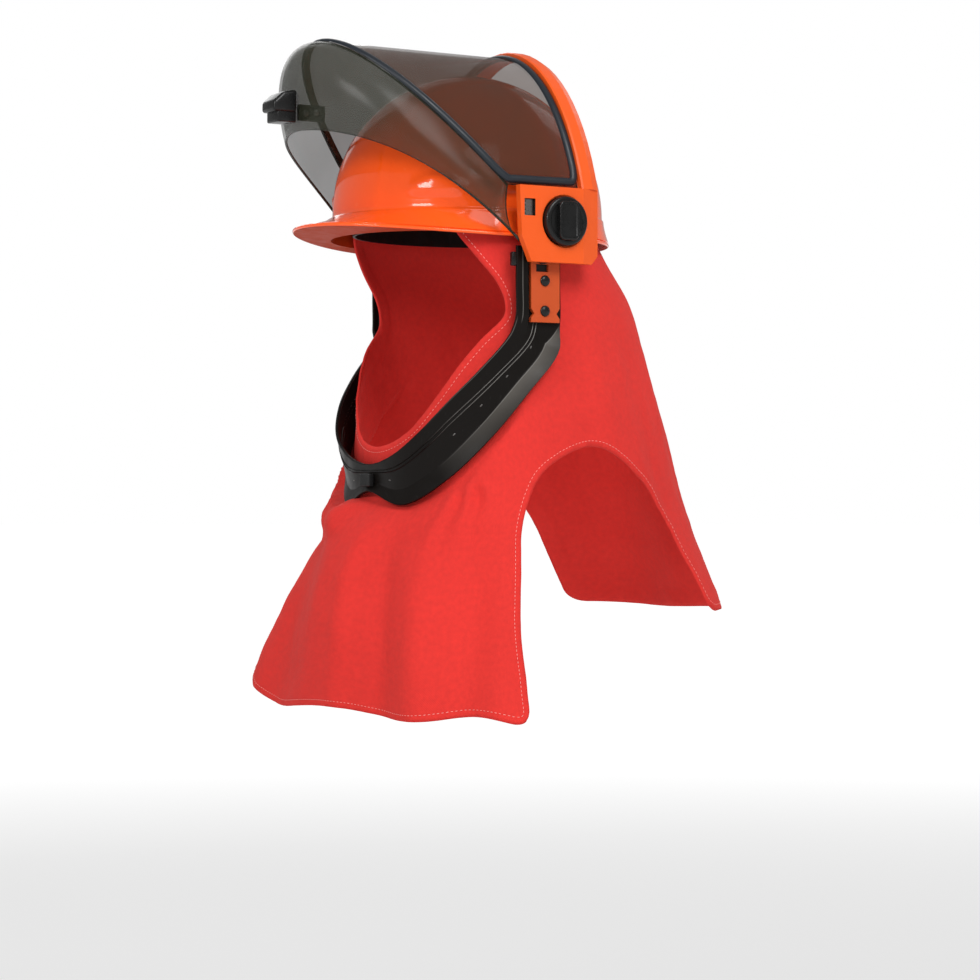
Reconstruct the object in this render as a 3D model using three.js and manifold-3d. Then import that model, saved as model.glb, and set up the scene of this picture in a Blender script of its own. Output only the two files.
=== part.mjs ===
// A lift-front arc-flash hood: a red cloth hood hanging from an orange hard hat, with a tinted visor
// on a hinged orange frame, shown raised, and a black moulded chin guard round the face opening.
// Millimetres, +Z up. The wearer faces -Y and the wearer's left is +X. The origin is the middle of the
// hat at the height of its rim, where the head sits.
import * as THREE from "three";
import { mergeVertices } from "three/addons/utils/BufferGeometryUtils.js";
import Module from "manifold-3d";

const wasm = await Module();
wasm.setup();

const GAP = 0.3;
// How far a cutting shape runs past the piece that it cuts
const PAST = 3;
const ROUND_SEGMENTS = 28;
const PIN_SEGMENTS = 16;
const SIDES = [
  { side: "left", sign: 1 },
  { side: "right", sign: -1 },
];

// Hard hat
const HAT = {
  wall: 3,
  segments: 40,
  domeRings: 7,
  baseZ: 22,
  domeHeight: 116,
  baseHalfWidth: 105,
  baseFront: 109,
  baseBack: 113,
  rimHalfWidth: 112,
  rimFront: 116,
  rimBack: 118,
  rimEdge: 3,
  peakReach: 35,
  peakRise: 9,
  peakSharpness: 2.2,
  ovalPower: 2.15,
  crownPart: 0.97,
  flareZ: 9.2,
  flarePart: 0.45,
  footSpread: 1,
};
const HEADBAND = { halfWidth: 79, halfLength: 95, wall: 2, bottomZ: 6, topZ: 36, segments: 40 };
const HANGER = { width: 22, bottomZ: 20, topZ: 32, clear: 4.3, inner: 60, angles: [38, 142, 218, 322] };

// Visor: each line runs from one side over the crown to the other side. Its half width and its place
// are given at the side and at the middle of the front, and bow lifts it between the two.
const VISOR_LINES = {
  arch: { halfWidth: 118.5, sideY: 32.5, sideZ: 39, apexY: 32.5, apexZ: 157, bow: 0 },
  ridge: { halfWidth: 113.5, sideY: -30, sideZ: 39, apexY: -141, apexZ: 157, bow: 0 },
  crease: { halfWidth: 119, sideY: -34, sideZ: 13, apexY: -162, apexZ: 138, bow: 0 },
  free: { halfWidth: 119.5, sideY: -24, sideZ: -6, apexY: -158, apexZ: 84, bow: 12 },
};
const VISOR_SIDE_SINE = 0.35;
const VISOR_SEGMENTS = 30;
const WINDOW = { wall: 2, rows: 2 };
const CUP = { wall: 2.2, rows: 6, start: 0.012 };
const GASKET = { lift: GAP, wall: 2.4, acrossMargin: 0.035, alongMargin: 0.046 };
const ARCH = { halfWidth: 124.5, apexZ: 162.5, frontY: 33, rearY: 50, depth: 5.5 };
const ARCH_SECTION = [
  { y: ARCH.frontY, depth: 0.8 },
  { y: ARCH.frontY + 1.5, depth: 0 },
  { y: ARCH.rearY - 7, depth: 0 },
  { y: ARCH.rearY, depth: 3 },
  { y: ARCH.rearY, depth: ARCH.depth },
  { y: ARCH.frontY, depth: ARCH.depth },
];
const PLATE = {
  inner: 120,
  outer: 126,
  frontY: -27,
  rearY: 50,
  bevelY: 33,
  bevelInset: 5,
  topZ: 38,
  bottomZ: -22,
  chamferTopY: -25,
  chamferTopZ: -2,
  chamferLowY: -16,
  rearChamfer: 7,
  rearThickening: 1,
};
const PIVOT = { y: 0, z: -17, radius: 3, collar: 6, depth: 3 };
const KNOB = {
  y: 15,
  z: 11,
  radius: 19.6,
  recessRadius: 20.4,
  recessDepth: 2.7,
  recessChamfer: 0.8,
  height: 7,
  rimRound: 2,
  dish: 0.8,
  dishEdge: 5,
  barWidth: 18,
  barLength: 31,
  barHeight: 3.5,
  barCorner: 4,
};
const SLOT = { y: -17.5, z: 20.8, width: 10.3, height: 13.4 };
const SPRING = { setBack: 1, wall: 2, ribs: 4, ribDepth: 0.8, ribMargin: 2 };

// Lift tab on the visor's front, with its tongue and screws inside
const TAB_WIDTH = 22;
// Outline of the tab in the side view, as [y, z]
const TAB_OUTLINE = [
  [-163.2, 116], [-175, 114], [-184, 106], [-184, 98], [-180, 98], [-180, 90], [-163.2, 90],
];
const TONGUE = { wall: 3.6, frontY: -156.9, rearY: -133, bottomZ: 93, topZ: 106 };
const SCREW = { radius: 2.7, height: 1.5, places: [{ y: -151, z: 99 }, { y: -141.5, z: 100.5 }] };

// Brackets between the guard's arms and the visor
const BRACKET = {
  inner: 112.3,
  wall: 3.5,
  frontY: -9.8,
  rearY: 17,
  bottomZ: -69,
  topZ: 14,
  slotY: 0.6,
  slotZ: -26,
  slotWidth: 11.5,
  slotHeight: 6,
  slotDepth: 2,
  notch: 3,
  notchHalf: 4,
  notchZ: -62,
};
const RIVET = { radius: 4.4, y: 3, upperZ: -36, lowerZ: -60, segments: 14 };
// Dome of a rivet: height over the bracket and part of the radius
const RIVET_DOME = [
  { height: 0, part: 0 },
  { height: 0, part: 1 },
  { height: 1, part: 0.9 },
  { height: 1.9, part: 0.55 },
  { height: 2.2, part: 0 },
];

// Chin guard: one row for each station from an arm's top, along the jaw, to the middle of the chin,
// with the upper and the lower edge of the strip
const GUARD_ROWS = [
  { topX: 112, topY: -23, topZ: -9, lowX: 112, lowY: 20, lowZ: -9 },
  { topX: 112, topY: -23, topZ: -38, lowX: 112, lowY: 20, lowZ: -38 },
  { topX: 112, topY: -23, topZ: -64, lowX: 112, lowY: 20, lowZ: -70 },
  { topX: 111, topY: -27, topZ: -80, lowX: 113.5, lowY: 13, lowZ: -96 },
  { topX: 104, topY: -50, topZ: -107, lowX: 112, lowY: -10, lowZ: -123 },
  { topX: 90, topY: -70, topZ: -131, lowX: 104, lowY: -38, lowZ: -158 },
  { topX: 68, topY: -85, topZ: -156, lowX: 80, lowY: -64, lowZ: -192 },
  { topX: 36, topY: -91, topZ: -174, lowX: 44, lowY: -83, lowZ: -213 },
  { topX: 0, topY: -92, topZ: -181, lowX: 0, lowY: -89, lowZ: -202 },
];
const GUARD = { wall: 2.6, segments: 42, rail: 4, railWidth: 0.265, railFade: 0.18, railEnd: 0.26 };
// Relief of the strip, from its upper edge to its lower edge
const GUARD_RELIEF = [
  { across: 0, lift: 0 },
  { across: 0.25, lift: 0 },
  { across: 0.29, lift: 0 },
  { across: 0.62, lift: 0 },
  { across: 0.82, lift: 1.2 },
  { across: 1, lift: 4.5 },
];
const CATCH = { halfWidth: 8, frontY: -96, rearY: -91.8, bottomZ: -199, topZ: -189 };

// Hood: one row for each level, with the half width and where the wall passes in front and behind
const HOOD_ROWS = [
  { z: -392, halfWidth: 222, centreY: -70, front: -142, back: 240 },
  { z: -345, halfWidth: 198, centreY: -42, front: -136, back: 233 },
  { z: -290, halfWidth: 164, centreY: -6, front: -126, back: 220 },
  { z: -250, halfWidth: 142, centreY: 8, front: -114, back: 205 },
  { z: -230, halfWidth: 132, centreY: 12, front: -106, back: 198 },
  { z: -215, halfWidth: 127, centreY: 14, front: -84, back: 192.5 },
  { z: -203, halfWidth: 124, centreY: 15, front: -81, back: 188.5 },
  { z: -180, halfWidth: 118, centreY: 15, front: -84, back: 184 },
  { z: -140, halfWidth: 112, centreY: 14, front: -84, back: 175 },
  { z: -90, halfWidth: 107.5, centreY: 12, front: -86, back: 160.5 },
  { z: -45, halfWidth: 106, centreY: 8, front: -90, back: 143 },
  { z: -10, halfWidth: 104.5, centreY: 2, front: -95, back: 116 },
  { z: 2, halfWidth: 102.2, centreY: 0, front: -97, back: 109.4 },
  { z: 14, halfWidth: 100.6, centreY: 0, front: -97, back: 107.6 },
];
const HOOD = { wall: 1.8, segments: 52, levelStep: 42, ovalPower: 2.1 };
// How far the hood's side-view cuts reach
const HOOD_CUT = { y: 400, overZ: 60, underZ: -460 };
// Folds of the cloth: turn is degrees from the front towards the wearer's left, spread is its half width
const HOOD_FOLDS = [
  { turn: 36, spread: 7, depth: 9, fromZ: -212, fullZ: -300 },
  { turn: 56, spread: 8, depth: -9, fromZ: -205, fullZ: -310 },
  { turn: -30, spread: 8, depth: 9, fromZ: -212, fullZ: -310 },
  { turn: -52, spread: 8, depth: -8, fromZ: -205, fullZ: -310 },
  { turn: 0, spread: 13, depth: 11, fromZ: -201, fullZ: -222 },
  { turn: 162, spread: 9, depth: 7, fromZ: -60, fullZ: -220 },
  { turn: -158, spread: 9, depth: 8, fromZ: -60, fullZ: -220 },
  { turn: 180, spread: 8, depth: -6, fromZ: -80, fullZ: -240 },
];
// Outlines in the side view, as [y, z]
const FACE_EDGE = [
  [-60, 0], [-48, -19], [-26, -46], [-19.5, -58], [-20.5, -72],
  [-46, -97], [-66, -118], [-77, -140], [-81, -166], [-86.5, -175],
];
const SHOULDER_EDGE = [
  [-78, -400], [-60, -330], [-38, -270], [-20, -217], [4, -184],
  [54, -167], [100, -190], [128, -222], [152, -262], [176, -305],
];
const HEM = { frontZ: -376, backZ: -302, splitY: 60 };

// Materials
const plastic = (color, roughness) => new THREE.MeshStandardMaterial({ color, roughness, metalness: 0 });
const orangePlastic = plastic(0xf4601e, 0.25);
const bracketPlastic = plastic(0xc8562a, 0.4);
const blackPlastic = plastic(0x1b1918, 0.45);
const gasketRubber = plastic(0x2b3036, 0.5);
const redCloth = plastic(0xd8332e, 0.9);
const greyMetal = new THREE.MeshStandardMaterial({ color: 0xb9b9b6, roughness: 0.35, metalness: 0.9 });
const tint = (color, opacity) =>
  new THREE.MeshStandardMaterial({ color, roughness: 0.08, metalness: 0, transparent: true, opacity });
const windowTint = tint(0x6d7360, 0.55);
const cupTint = tint(0x5d5a5e, 0.6);

// Builds an indexed surface whose faces point outwards.
function surface(points, triangles) {
  let volume = 0;
  for (const [a, b, c] of triangles) {
    volume += points[a].dot(new THREE.Vector3().crossVectors(points[b], points[c]));
  }
  const faces = volume < 0 ? triangles.map(([a, b, c]) => [a, c, b]) : triangles;
  const geometry = new THREE.BufferGeometry().setFromPoints(points);
  geometry.setIndex(faces.flat());
  geometry.computeVertexNormals();
  return geometry;
}

// Joins closed rings of equally many points into one skin. A wrapped skin meets its own first ring,
// and any other skin ends in a fan at each end.
function skin(rings, wrapped) {
  const count = rings[0].length;
  const points = rings.flat();
  const triangles = [];
  const bands = wrapped ? rings.length : rings.length - 1;
  for (let r = 0; r < bands; r++) {
    const next = (r + 1) % rings.length;
    for (let i = 0; i < count; i++) {
      const j = (i + 1) % count;
      triangles.push([r * count + i, r * count + j, next * count + j]);
      triangles.push([r * count + i, next * count + j, next * count + i]);
    }
  }
  if (!wrapped) {
    for (const end of [0, rings.length - 1]) {
      const middle = new THREE.Vector3();
      rings[end].forEach((p) => middle.addScaledVector(p, 1 / count));
      const hub = points.push(middle) - 1;
      for (let i = 0; i < count; i++) {
        const j = (i + 1) % count;
        const fan = [hub, end * count + j, end * count + i];
        triangles.push(end === 0 ? fan : fan.reverse());
      }
    }
  }
  return surface(points, triangles);
}

// A wall between two grids of points, closed along its four edges: each column of the grid becomes a
// ring that runs out along the outer side and back along the inner one.
function wall(outer, inner) {
  return skin(outer.map((line, i) => [...line, ...[...inner[i]].reverse()]), false);
}

// Small step over a surface or line, for its direction there.
const NUDGE = 1e-3;

// Points of a surface at the given steps and lines, moved along its normal by lift(u, v).
function grid(place, steps, lines, lift) {
  const column = (u) =>
    lines.map((v) => {
      const along = place(u + NUDGE, v).sub(place(u - NUDGE, v));
      const across = place(u, v + NUDGE).sub(place(u, v - NUDGE));
      const normal = across.cross(along).normalize();
      return place(u, v).addScaledVector(normal, lift(u, v));
    });
  return steps.map(column);
}

const evenSteps = (from, to, count) =>
  Array.from({ length: count + 1 }, (_, i) => THREE.MathUtils.lerp(from, to, i / count));

// A geometry as a solid for joining and cutting, and back.
function solid(geometry) {
  const bare = geometry.clone();
  bare.deleteAttribute("normal");
  bare.deleteAttribute("uv");
  const merged = mergeVertices(bare, 1e-4);
  return new wasm.Manifold(
    new wasm.Mesh({
      numProp: 3,
      vertProperties: merged.attributes.position.array,
      triVerts: new Uint32Array(merged.index.array),
    }),
  );
}

function shape(made) {
  const mesh = made.getMesh();
  const geometry = new THREE.BufferGeometry();
  geometry.setAttribute("position", new THREE.BufferAttribute(mesh.vertProperties, 3));
  geometry.setIndex(new THREE.BufferAttribute(mesh.triVerts, 1));
  geometry.computeVertexNormals();
  return geometry;
}

const cut = (body, ...tools) => shape(tools.reduce((rest, t) => rest.subtract(solid(t)), solid(body)));
const join = (...bodies) => shape(bodies.slice(1).reduce((sum, b) => sum.add(solid(b)), solid(bodies[0])));

// A side-view outline of [y, z] points, as thick as the span of x that it is given.
function sidePrism(outline, fromX, toX) {
  const profile = new THREE.Shape(outline.map(([y, z]) => new THREE.Vector2(y, z)));
  const geometry = new THREE.ExtrudeGeometry(profile, { depth: toX - fromX, bevelEnabled: false, steps: 1 });
  // The outline's own axes become Y and Z, and its depth becomes X.
  const turned = new THREE.Matrix4().makeBasis(
    new THREE.Vector3(0, 1, 0),
    new THREE.Vector3(0, 0, 1),
    new THREE.Vector3(1, 0, 0),
  );
  return geometry.applyMatrix4(turned).translate(fromX, 0, 0);
}

const block = (fromX, toX, fromY, toY, fromZ, toZ) =>
  new THREE.BoxGeometry(toX - fromX, toY - fromY, toZ - fromZ).translate(
    (fromX + toX) / 2,
    (fromY + toY) / 2,
    (fromZ + toZ) / 2,
  );

// A turned piece on an axis along X through (y, z), from [distance along X, radius] points.
function turned(profile, y, z, segments) {
  const points = profile.map(([along, radius]) => new THREE.Vector2(radius, along));
  return new THREE.LatheGeometry(points, segments).rotateZ(-Math.PI / 2).translate(0, y, z);
}

const mirrored = (geometry) => {
  const flipped = shape(solid(geometry));
  flipped.scale(-1, 1, 1);
  const order = flipped.index.array;
  for (let i = 0; i < order.length; i += 3) {
    [order[i + 1], order[i + 2]] = [order[i + 2], order[i + 1]];
  }
  flipped.computeVertexNormals();
  return flipped;
};
const onSide = (geometry, sign) => (sign > 0 ? geometry : mirrored(geometry));

// The hole that a pivot pin turns in
function pinBore(fromX, toX) {
  const radius = PIVOT.radius + GAP;
  const profile = [[fromX, 0], [fromX, radius], [toX, radius], [toX, 0]];
  return turned(profile, PIVOT.y, PIVOT.z, PIN_SEGMENTS);
}

// A closed oval at one height: front and back reach are measured from its centre line.
function oval(turn, size) {
  const power = 2 / size.power;
  const s = Math.sin(turn);
  const c = Math.cos(turn);
  const x = size.halfWidth * Math.sign(s) * Math.abs(s) ** power;
  const reach = c > 0 ? -size.front : size.back;
  return new THREE.Vector3(x, size.centreY + reach * Math.abs(c) ** power, size.z);
}

const root = new THREE.Group();
function addPiece(name, geometry, material) {
  const mesh = new THREE.Mesh(geometry, material);
  mesh.name = name;
  root.add(mesh);
}

// Hard hat
const hatTurns = evenSteps(0, 2 * Math.PI, HAT.segments).slice(0, -1);
function hatRing(z, halfWidth, front, back, peak) {
  return hatTurns.map((turn) => {
    const toFront = Math.max(0, Math.cos(turn)) ** HAT.peakSharpness;
    const p = oval(turn, { z, halfWidth, front, back, centreY: 0, power: HAT.ovalPower });
    return p.add(new THREE.Vector3(0, -HAT.peakReach * peak * toFront, HAT.peakRise * peak * toFront));
  });
}
function domeRing(lift, inset) {
  const level = Math.cos(lift);
  return hatRing(
    HAT.baseZ + (HAT.domeHeight - inset) * Math.sin(lift),
    (HAT.baseHalfWidth - inset) * level,
    (HAT.baseFront - inset) * level,
    (HAT.baseBack - inset) * level,
    0,
  );
}
function hatShell() {
  const lifts = evenSteps((Math.PI / 2) * HAT.crownPart, 0, HAT.domeRings);
  const flared = (base, rim) => THREE.MathUtils.lerp(base, rim, HAT.flarePart);
  const flare = hatRing(
    HAT.flareZ,
    flared(HAT.baseHalfWidth, HAT.rimHalfWidth),
    flared(HAT.baseFront, HAT.rimFront),
    flared(HAT.baseBack, HAT.rimBack),
    HAT.flarePart,
  );
  const half = HAT.rimEdge / 2;
  const rim = [half, -half].map((z) => hatRing(z, HAT.rimHalfWidth, HAT.rimFront, HAT.rimBack, 1));
  const inset = HAT.wall - HAT.footSpread;
  const foot = hatRing(
    HAT.rimEdge,
    HAT.baseHalfWidth - inset,
    HAT.baseFront - inset,
    HAT.baseBack - inset,
    0,
  );
  const outside = lifts.map((lift) => domeRing(lift, 0));
  const inside = lifts.map((lift) => domeRing(lift, HAT.wall)).reverse();
  return skin([...outside, flare, ...rim, foot, ...inside], false);
}
addPiece("hat_shell", hatShell(), orangePlastic);

// Head band inside the hat, with four hangers that reach the shell
function headband() {
  const turns = evenSteps(0, 2 * Math.PI, HEADBAND.segments).slice(0, -1);
  const ring = (z, grow) => {
    const reach = HEADBAND.halfLength + grow;
    const halfWidth = HEADBAND.halfWidth + grow;
    const size = { z, halfWidth, front: reach, back: reach, centreY: 0, power: 2 };
    return turns.map((turn) => oval(turn, size));
  };
  const inner = [HEADBAND.bottomZ, HEADBAND.topZ].map((z) => ring(z, 0));
  const outer = [HEADBAND.topZ, HEADBAND.bottomZ].map((z) => ring(z, HEADBAND.wall));
  const band = skin([...inner, ...outer], true);
  const room = [HANGER.bottomZ - PAST, HANGER.topZ + PAST].map((z) =>
    hatRing(
      z,
      HAT.baseHalfWidth - HANGER.clear,
      HAT.baseFront - HANGER.clear,
      HAT.baseBack - HANGER.clear,
      0,
    ),
  );
  const bars = HANGER.angles.map((angle) => {
    const half = HANGER.width / 2;
    const bar = block(-half, half, -HAT.rimBack, -HANGER.inner, HANGER.bottomZ, HANGER.topZ);
    return solid(bar.rotateZ(THREE.MathUtils.degToRad(angle)));
  });
  const hollow = skin([HEADBAND.bottomZ, HEADBAND.topZ].map((z) => ring(z, HEADBAND.wall / 2)), false);
  const hangers = bars.reduce((sum, bar) => sum.add(bar)).intersect(solid(skin(room, false)));
  return shape(solid(band).add(hangers.subtract(solid(hollow))));
}
addPiece("headband", headband(), blackPlastic);

// Visor lines: across runs from -1 at the right side, over the crown, to 1 at the left side.
const sideAngle = Math.asin(VISOR_SIDE_SINE);
function visorPoint(line, across) {
  const angle = Math.PI / 2 - Math.abs(across) * (Math.PI / 2 - sideAngle);
  const toApex = (Math.sin(angle) - VISOR_SIDE_SINE) / (1 - VISOR_SIDE_SINE);
  return new THREE.Vector3(
    (Math.sign(across) * line.halfWidth * Math.cos(angle)) / Math.cos(sideAngle),
    THREE.MathUtils.lerp(line.sideY, line.apexY, toApex),
    THREE.MathUtils.lerp(line.sideZ, line.apexZ, toApex) + line.bow * 4 * toApex * (1 - toApex),
  );
}
const visorSteps = evenSteps(-1, 1, VISOR_SEGMENTS);

// The window is ruled from the arch to the ridge, and its normal points away from the head.
const windowPlace = (u, v) => visorPoint(VISOR_LINES.arch, u).lerp(visorPoint(VISOR_LINES.ridge, u), v);
// The chin cup bends from the ridge over the crease to the free edge.
function cupPlace(u, v) {
  const ridge = visorPoint(VISOR_LINES.ridge, u);
  const crease = visorPoint(VISOR_LINES.crease, u);
  const free = visorPoint(VISOR_LINES.free, u);
  const pull = crease.multiplyScalar(2).addScaledVector(ridge, -0.5).addScaledVector(free, -0.5);
  return new THREE.QuadraticBezierCurve3(ridge, pull, free).getPoint(v);
}
function sheet(place, steps, lines, from, to) {
  return wall(
    grid(place, steps, lines, () => to),
    grid(place, steps, lines, () => from),
  );
}
const windowLines = evenSteps(0, 1, WINDOW.rows);
addPiece("visor_window", sheet(windowPlace, visorSteps, windowLines, -WINDOW.wall, 0), windowTint);
const cupLines = evenSteps(CUP.start, 1, CUP.rows);
addPiece("chin_cup", sheet(cupPlace, visorSteps, cupLines, -CUP.wall, 0), cupTint);

// Gasket: a raised frame along the window's arch, its sides and the ridge
function windowGasket() {
  const face = GASKET.lift + GASKET.wall;
  const whole = sheet(windowPlace, visorSteps, windowLines, GASKET.lift, face);
  const steps = evenSteps(GASKET.acrossMargin - 1, 1 - GASKET.acrossMargin, VISOR_SEGMENTS);
  const lines = evenSteps(GASKET.alongMargin, 1 - GASKET.alongMargin, WINDOW.rows);
  return cut(whole, sheet(windowPlace, steps, lines, GASKET.lift - PAST, face + PAST));
}
addPiece("window_gasket", windowGasket(), gasketRubber);

// Visor frame: an arch over the crown and a plate at each side, moulded in one
function archBand() {
  const outerLine = { ...VISOR_LINES.arch, halfWidth: ARCH.halfWidth, apexZ: ARCH.apexZ, sideZ: PLATE.topZ };
  const rings = visorSteps.map((across) => {
    const at = visorPoint(outerLine, across);
    const along = visorPoint(outerLine, across + NUDGE).sub(visorPoint(outerLine, across - NUDGE));
    const inward = new THREE.Vector3(along.z, 0, -along.x).normalize();
    return ARCH_SECTION.map(({ y, depth }) => at.clone().setY(y).addScaledVector(inward, depth));
  });
  return skin(rings, false);
}
function sidePlate() {
  const outline = [
    [PLATE.frontY, PLATE.topZ],
    [PLATE.rearY, PLATE.topZ],
    [PLATE.rearY, PLATE.bottomZ + PLATE.rearChamfer],
    [PLATE.rearY - PLATE.rearChamfer, PLATE.bottomZ],
    [PLATE.chamferLowY, PLATE.bottomZ],
    [PLATE.chamferTopY, PLATE.chamferTopZ],
  ];
  const slab = sidePrism(outline, PLATE.inner - PLATE.rearThickening, PLATE.outer);
  const fromZ = PLATE.bottomZ - PAST;
  const toZ = PLATE.topZ + PAST;
  const bevelOutline = new THREE.Shape([
    new THREE.Vector2(PLATE.outer, PLATE.bevelY),
    new THREE.Vector2(PLATE.outer + PAST, PLATE.bevelY),
    new THREE.Vector2(PLATE.outer + PAST, PLATE.rearY),
    new THREE.Vector2(PLATE.outer - PLATE.bevelInset, PLATE.rearY),
  ]);
  const bevelSpan = { depth: toZ - fromZ, bevelEnabled: false, steps: 1 };
  const bevel = new THREE.ExtrudeGeometry(bevelOutline, bevelSpan);
  bevel.translate(0, 0, fromZ);
  const recessFloor = PLATE.outer - KNOB.recessDepth;
  const recess = turned(
    [
      [recessFloor, 0],
      [recessFloor, KNOB.recessRadius],
      [PLATE.outer - KNOB.recessChamfer, KNOB.recessRadius],
      [PLATE.outer + KNOB.recessChamfer, KNOB.recessRadius + 2 * KNOB.recessChamfer],
      [PLATE.outer + KNOB.recessChamfer, 0],
    ],
    KNOB.y,
    KNOB.z,
    ROUND_SEGMENTS,
  );
  const slot = block(
    PLATE.inner - PAST,
    PLATE.outer + PAST,
    SLOT.y - SLOT.width / 2,
    SLOT.y + SLOT.width / 2,
    SLOT.z - SLOT.height / 2,
    SLOT.z + SLOT.height / 2,
  );
  const pinHole = pinBore(PLATE.inner - PAST, PLATE.inner + PIVOT.depth + GAP);
  const insideFace = block(PLATE.inner - PAST, PLATE.inner, PLATE.frontY - PAST, PLATE.bevelY, fromZ, toZ);
  return cut(slab, bevel, recess, slot, pinHole, insideFace);
}
const leftPlate = sidePlate();
addPiece("visor_frame", join(archBand(), leftPlate, mirrored(leftPlate)), orangePlastic);

// Lift tab: hooded block outside the chin cup, tongue and two screws inside
addPiece("lift_tab", sidePrism(TAB_OUTLINE, -TAB_WIDTH / 2, TAB_WIDTH / 2), blackPlastic);
const tongueHalf = TONGUE.wall / 2;
const tongue = block(-tongueHalf, tongueHalf, TONGUE.frontY, TONGUE.rearY, TONGUE.bottomZ, TONGUE.topZ);
addPiece("tab_tongue", tongue, blackPlastic);
SCREW.places.forEach(({ y, z }, i) => {
  const foot = tongueHalf + GAP;
  const profile = [
    [foot, 0],
    [foot, SCREW.radius],
    [foot + SCREW.height / 2, SCREW.radius],
    [foot + SCREW.height, SCREW.radius / 2],
    [foot + SCREW.height, 0],
  ];
  addPiece(`tab_screw_${i + 1}`, turned(profile, y, z, PIN_SEGMENTS), blackPlastic);
});

// Side knobs, their slot springs, the pivot pins, the brackets and their rivets
function knob() {
  const foot = PLATE.outer - KNOB.recessDepth + GAP;
  const face = foot + KNOB.height;
  const body = turned(
    [
      [foot, 0],
      [foot, KNOB.radius],
      [face - KNOB.rimRound, KNOB.radius],
      [face, KNOB.radius - KNOB.rimRound],
      [face - KNOB.dish, KNOB.radius - KNOB.dishEdge],
      [face - KNOB.dish, 0],
    ],
    0,
    0,
    ROUND_SEGMENTS,
  );
  const halfWidth = KNOB.barWidth / 2;
  const halfLength = KNOB.barLength / 2;
  const outline = [
    [-halfWidth, halfLength - KNOB.barCorner],
    [KNOB.barCorner - halfWidth, halfLength],
    [halfWidth - KNOB.barCorner, halfLength],
    [halfWidth, halfLength - KNOB.barCorner],
    [halfWidth, KNOB.barCorner - halfLength],
    [halfWidth - KNOB.barCorner, -halfLength],
    [KNOB.barCorner - halfWidth, -halfLength],
    [-halfWidth, KNOB.barCorner - halfLength],
  ];
  const bar = sidePrism(outline, face - KNOB.rimRound, face + KNOB.barHeight);
  return join(body, bar).translate(0, KNOB.y, KNOB.z);
}
function slotSpring() {
  const fromY = SLOT.y - SLOT.width / 2 + GAP;
  const toY = SLOT.y + SLOT.width / 2 - GAP;
  const fromZ = SLOT.z - SLOT.height / 2 + GAP;
  const toZ = SLOT.z + SLOT.height / 2 - GAP;
  const foot = PLATE.inner + SPRING.setBack;
  const face = foot + SPRING.wall;
  const back = block(foot, face, fromY, toY, fromZ, toZ);
  const pitch = (toZ - fromZ) / SPRING.ribs;
  const ribs = Array.from({ length: SPRING.ribs }, (_, i) => {
    const z = fromZ + (i + 0.5) * pitch;
    const ribFrom = fromY + SPRING.ribMargin;
    const ribTo = toY - SPRING.ribMargin;
    return block(foot, face + SPRING.ribDepth, ribFrom, ribTo, z - pitch / 4, z + pitch / 4);
  });
  return join(back, ...ribs);
}
function pivotPin() {
  const collarFrom = BRACKET.inner + BRACKET.wall + GAP;
  const collarTo = PLATE.inner - GAP;
  const profile = [
    [BRACKET.inner + GAP, 0],
    [BRACKET.inner + GAP, PIVOT.radius],
    [collarFrom, PIVOT.radius],
    [collarFrom, PIVOT.collar],
    [collarTo, PIVOT.collar],
    [collarTo, PIVOT.radius],
    [PLATE.inner + PIVOT.depth, PIVOT.radius],
    [PLATE.inner + PIVOT.depth, 0],
  ];
  return turned(profile, PIVOT.y, PIVOT.z, PIN_SEGMENTS);
}
function bracket() {
  const outer = BRACKET.inner + BRACKET.wall;
  const notchTop = BRACKET.notchZ + BRACKET.notchHalf;
  const notchLow = BRACKET.notchZ - BRACKET.notchHalf;
  const outline = [
    [BRACKET.frontY, BRACKET.topZ],
    [BRACKET.rearY, BRACKET.topZ],
    [BRACKET.rearY, notchTop],
    [BRACKET.rearY - BRACKET.notch, BRACKET.notchZ],
    [BRACKET.rearY, notchLow],
    [BRACKET.rearY, BRACKET.bottomZ],
    [BRACKET.frontY, BRACKET.bottomZ],
    [BRACKET.frontY, notchLow],
    [BRACKET.frontY + BRACKET.notch, BRACKET.notchZ],
    [BRACKET.frontY, notchTop],
  ];
  const slot = block(
    outer - BRACKET.slotDepth,
    outer + PAST,
    BRACKET.slotY - BRACKET.slotWidth / 2,
    BRACKET.slotY + BRACKET.slotWidth / 2,
    BRACKET.slotZ - BRACKET.slotHeight / 2,
    BRACKET.slotZ + BRACKET.slotHeight / 2,
  );
  const plate = sidePrism(outline, BRACKET.inner, outer);
  return cut(plate, slot, pinBore(BRACKET.inner - PAST, outer + PAST));
}
function rivet(z) {
  const foot = BRACKET.inner + BRACKET.wall + GAP;
  const profile = RIVET_DOME.map(({ height, part }) => [foot + height, RIVET.radius * part]);
  return turned(profile, RIVET.y, z, RIVET.segments);
}
for (const { side, sign } of SIDES) {
  addPiece(`knob_${side}`, onSide(knob(), sign), blackPlastic);
  addPiece(`slot_spring_${side}`, onSide(slotSpring(), sign), greyMetal);
  addPiece(`pivot_pin_${side}`, onSide(pivotPin(), sign), blackPlastic);
  addPiece(`bracket_${side}`, onSide(bracket(), sign), bracketPlastic);
  addPiece(`rivet_${side}_upper`, onSide(rivet(RIVET.upperZ), sign), blackPlastic);
  addPiece(`rivet_${side}_lower`, onSide(rivet(RIVET.lowerZ), sign), blackPlastic);
}

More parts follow.
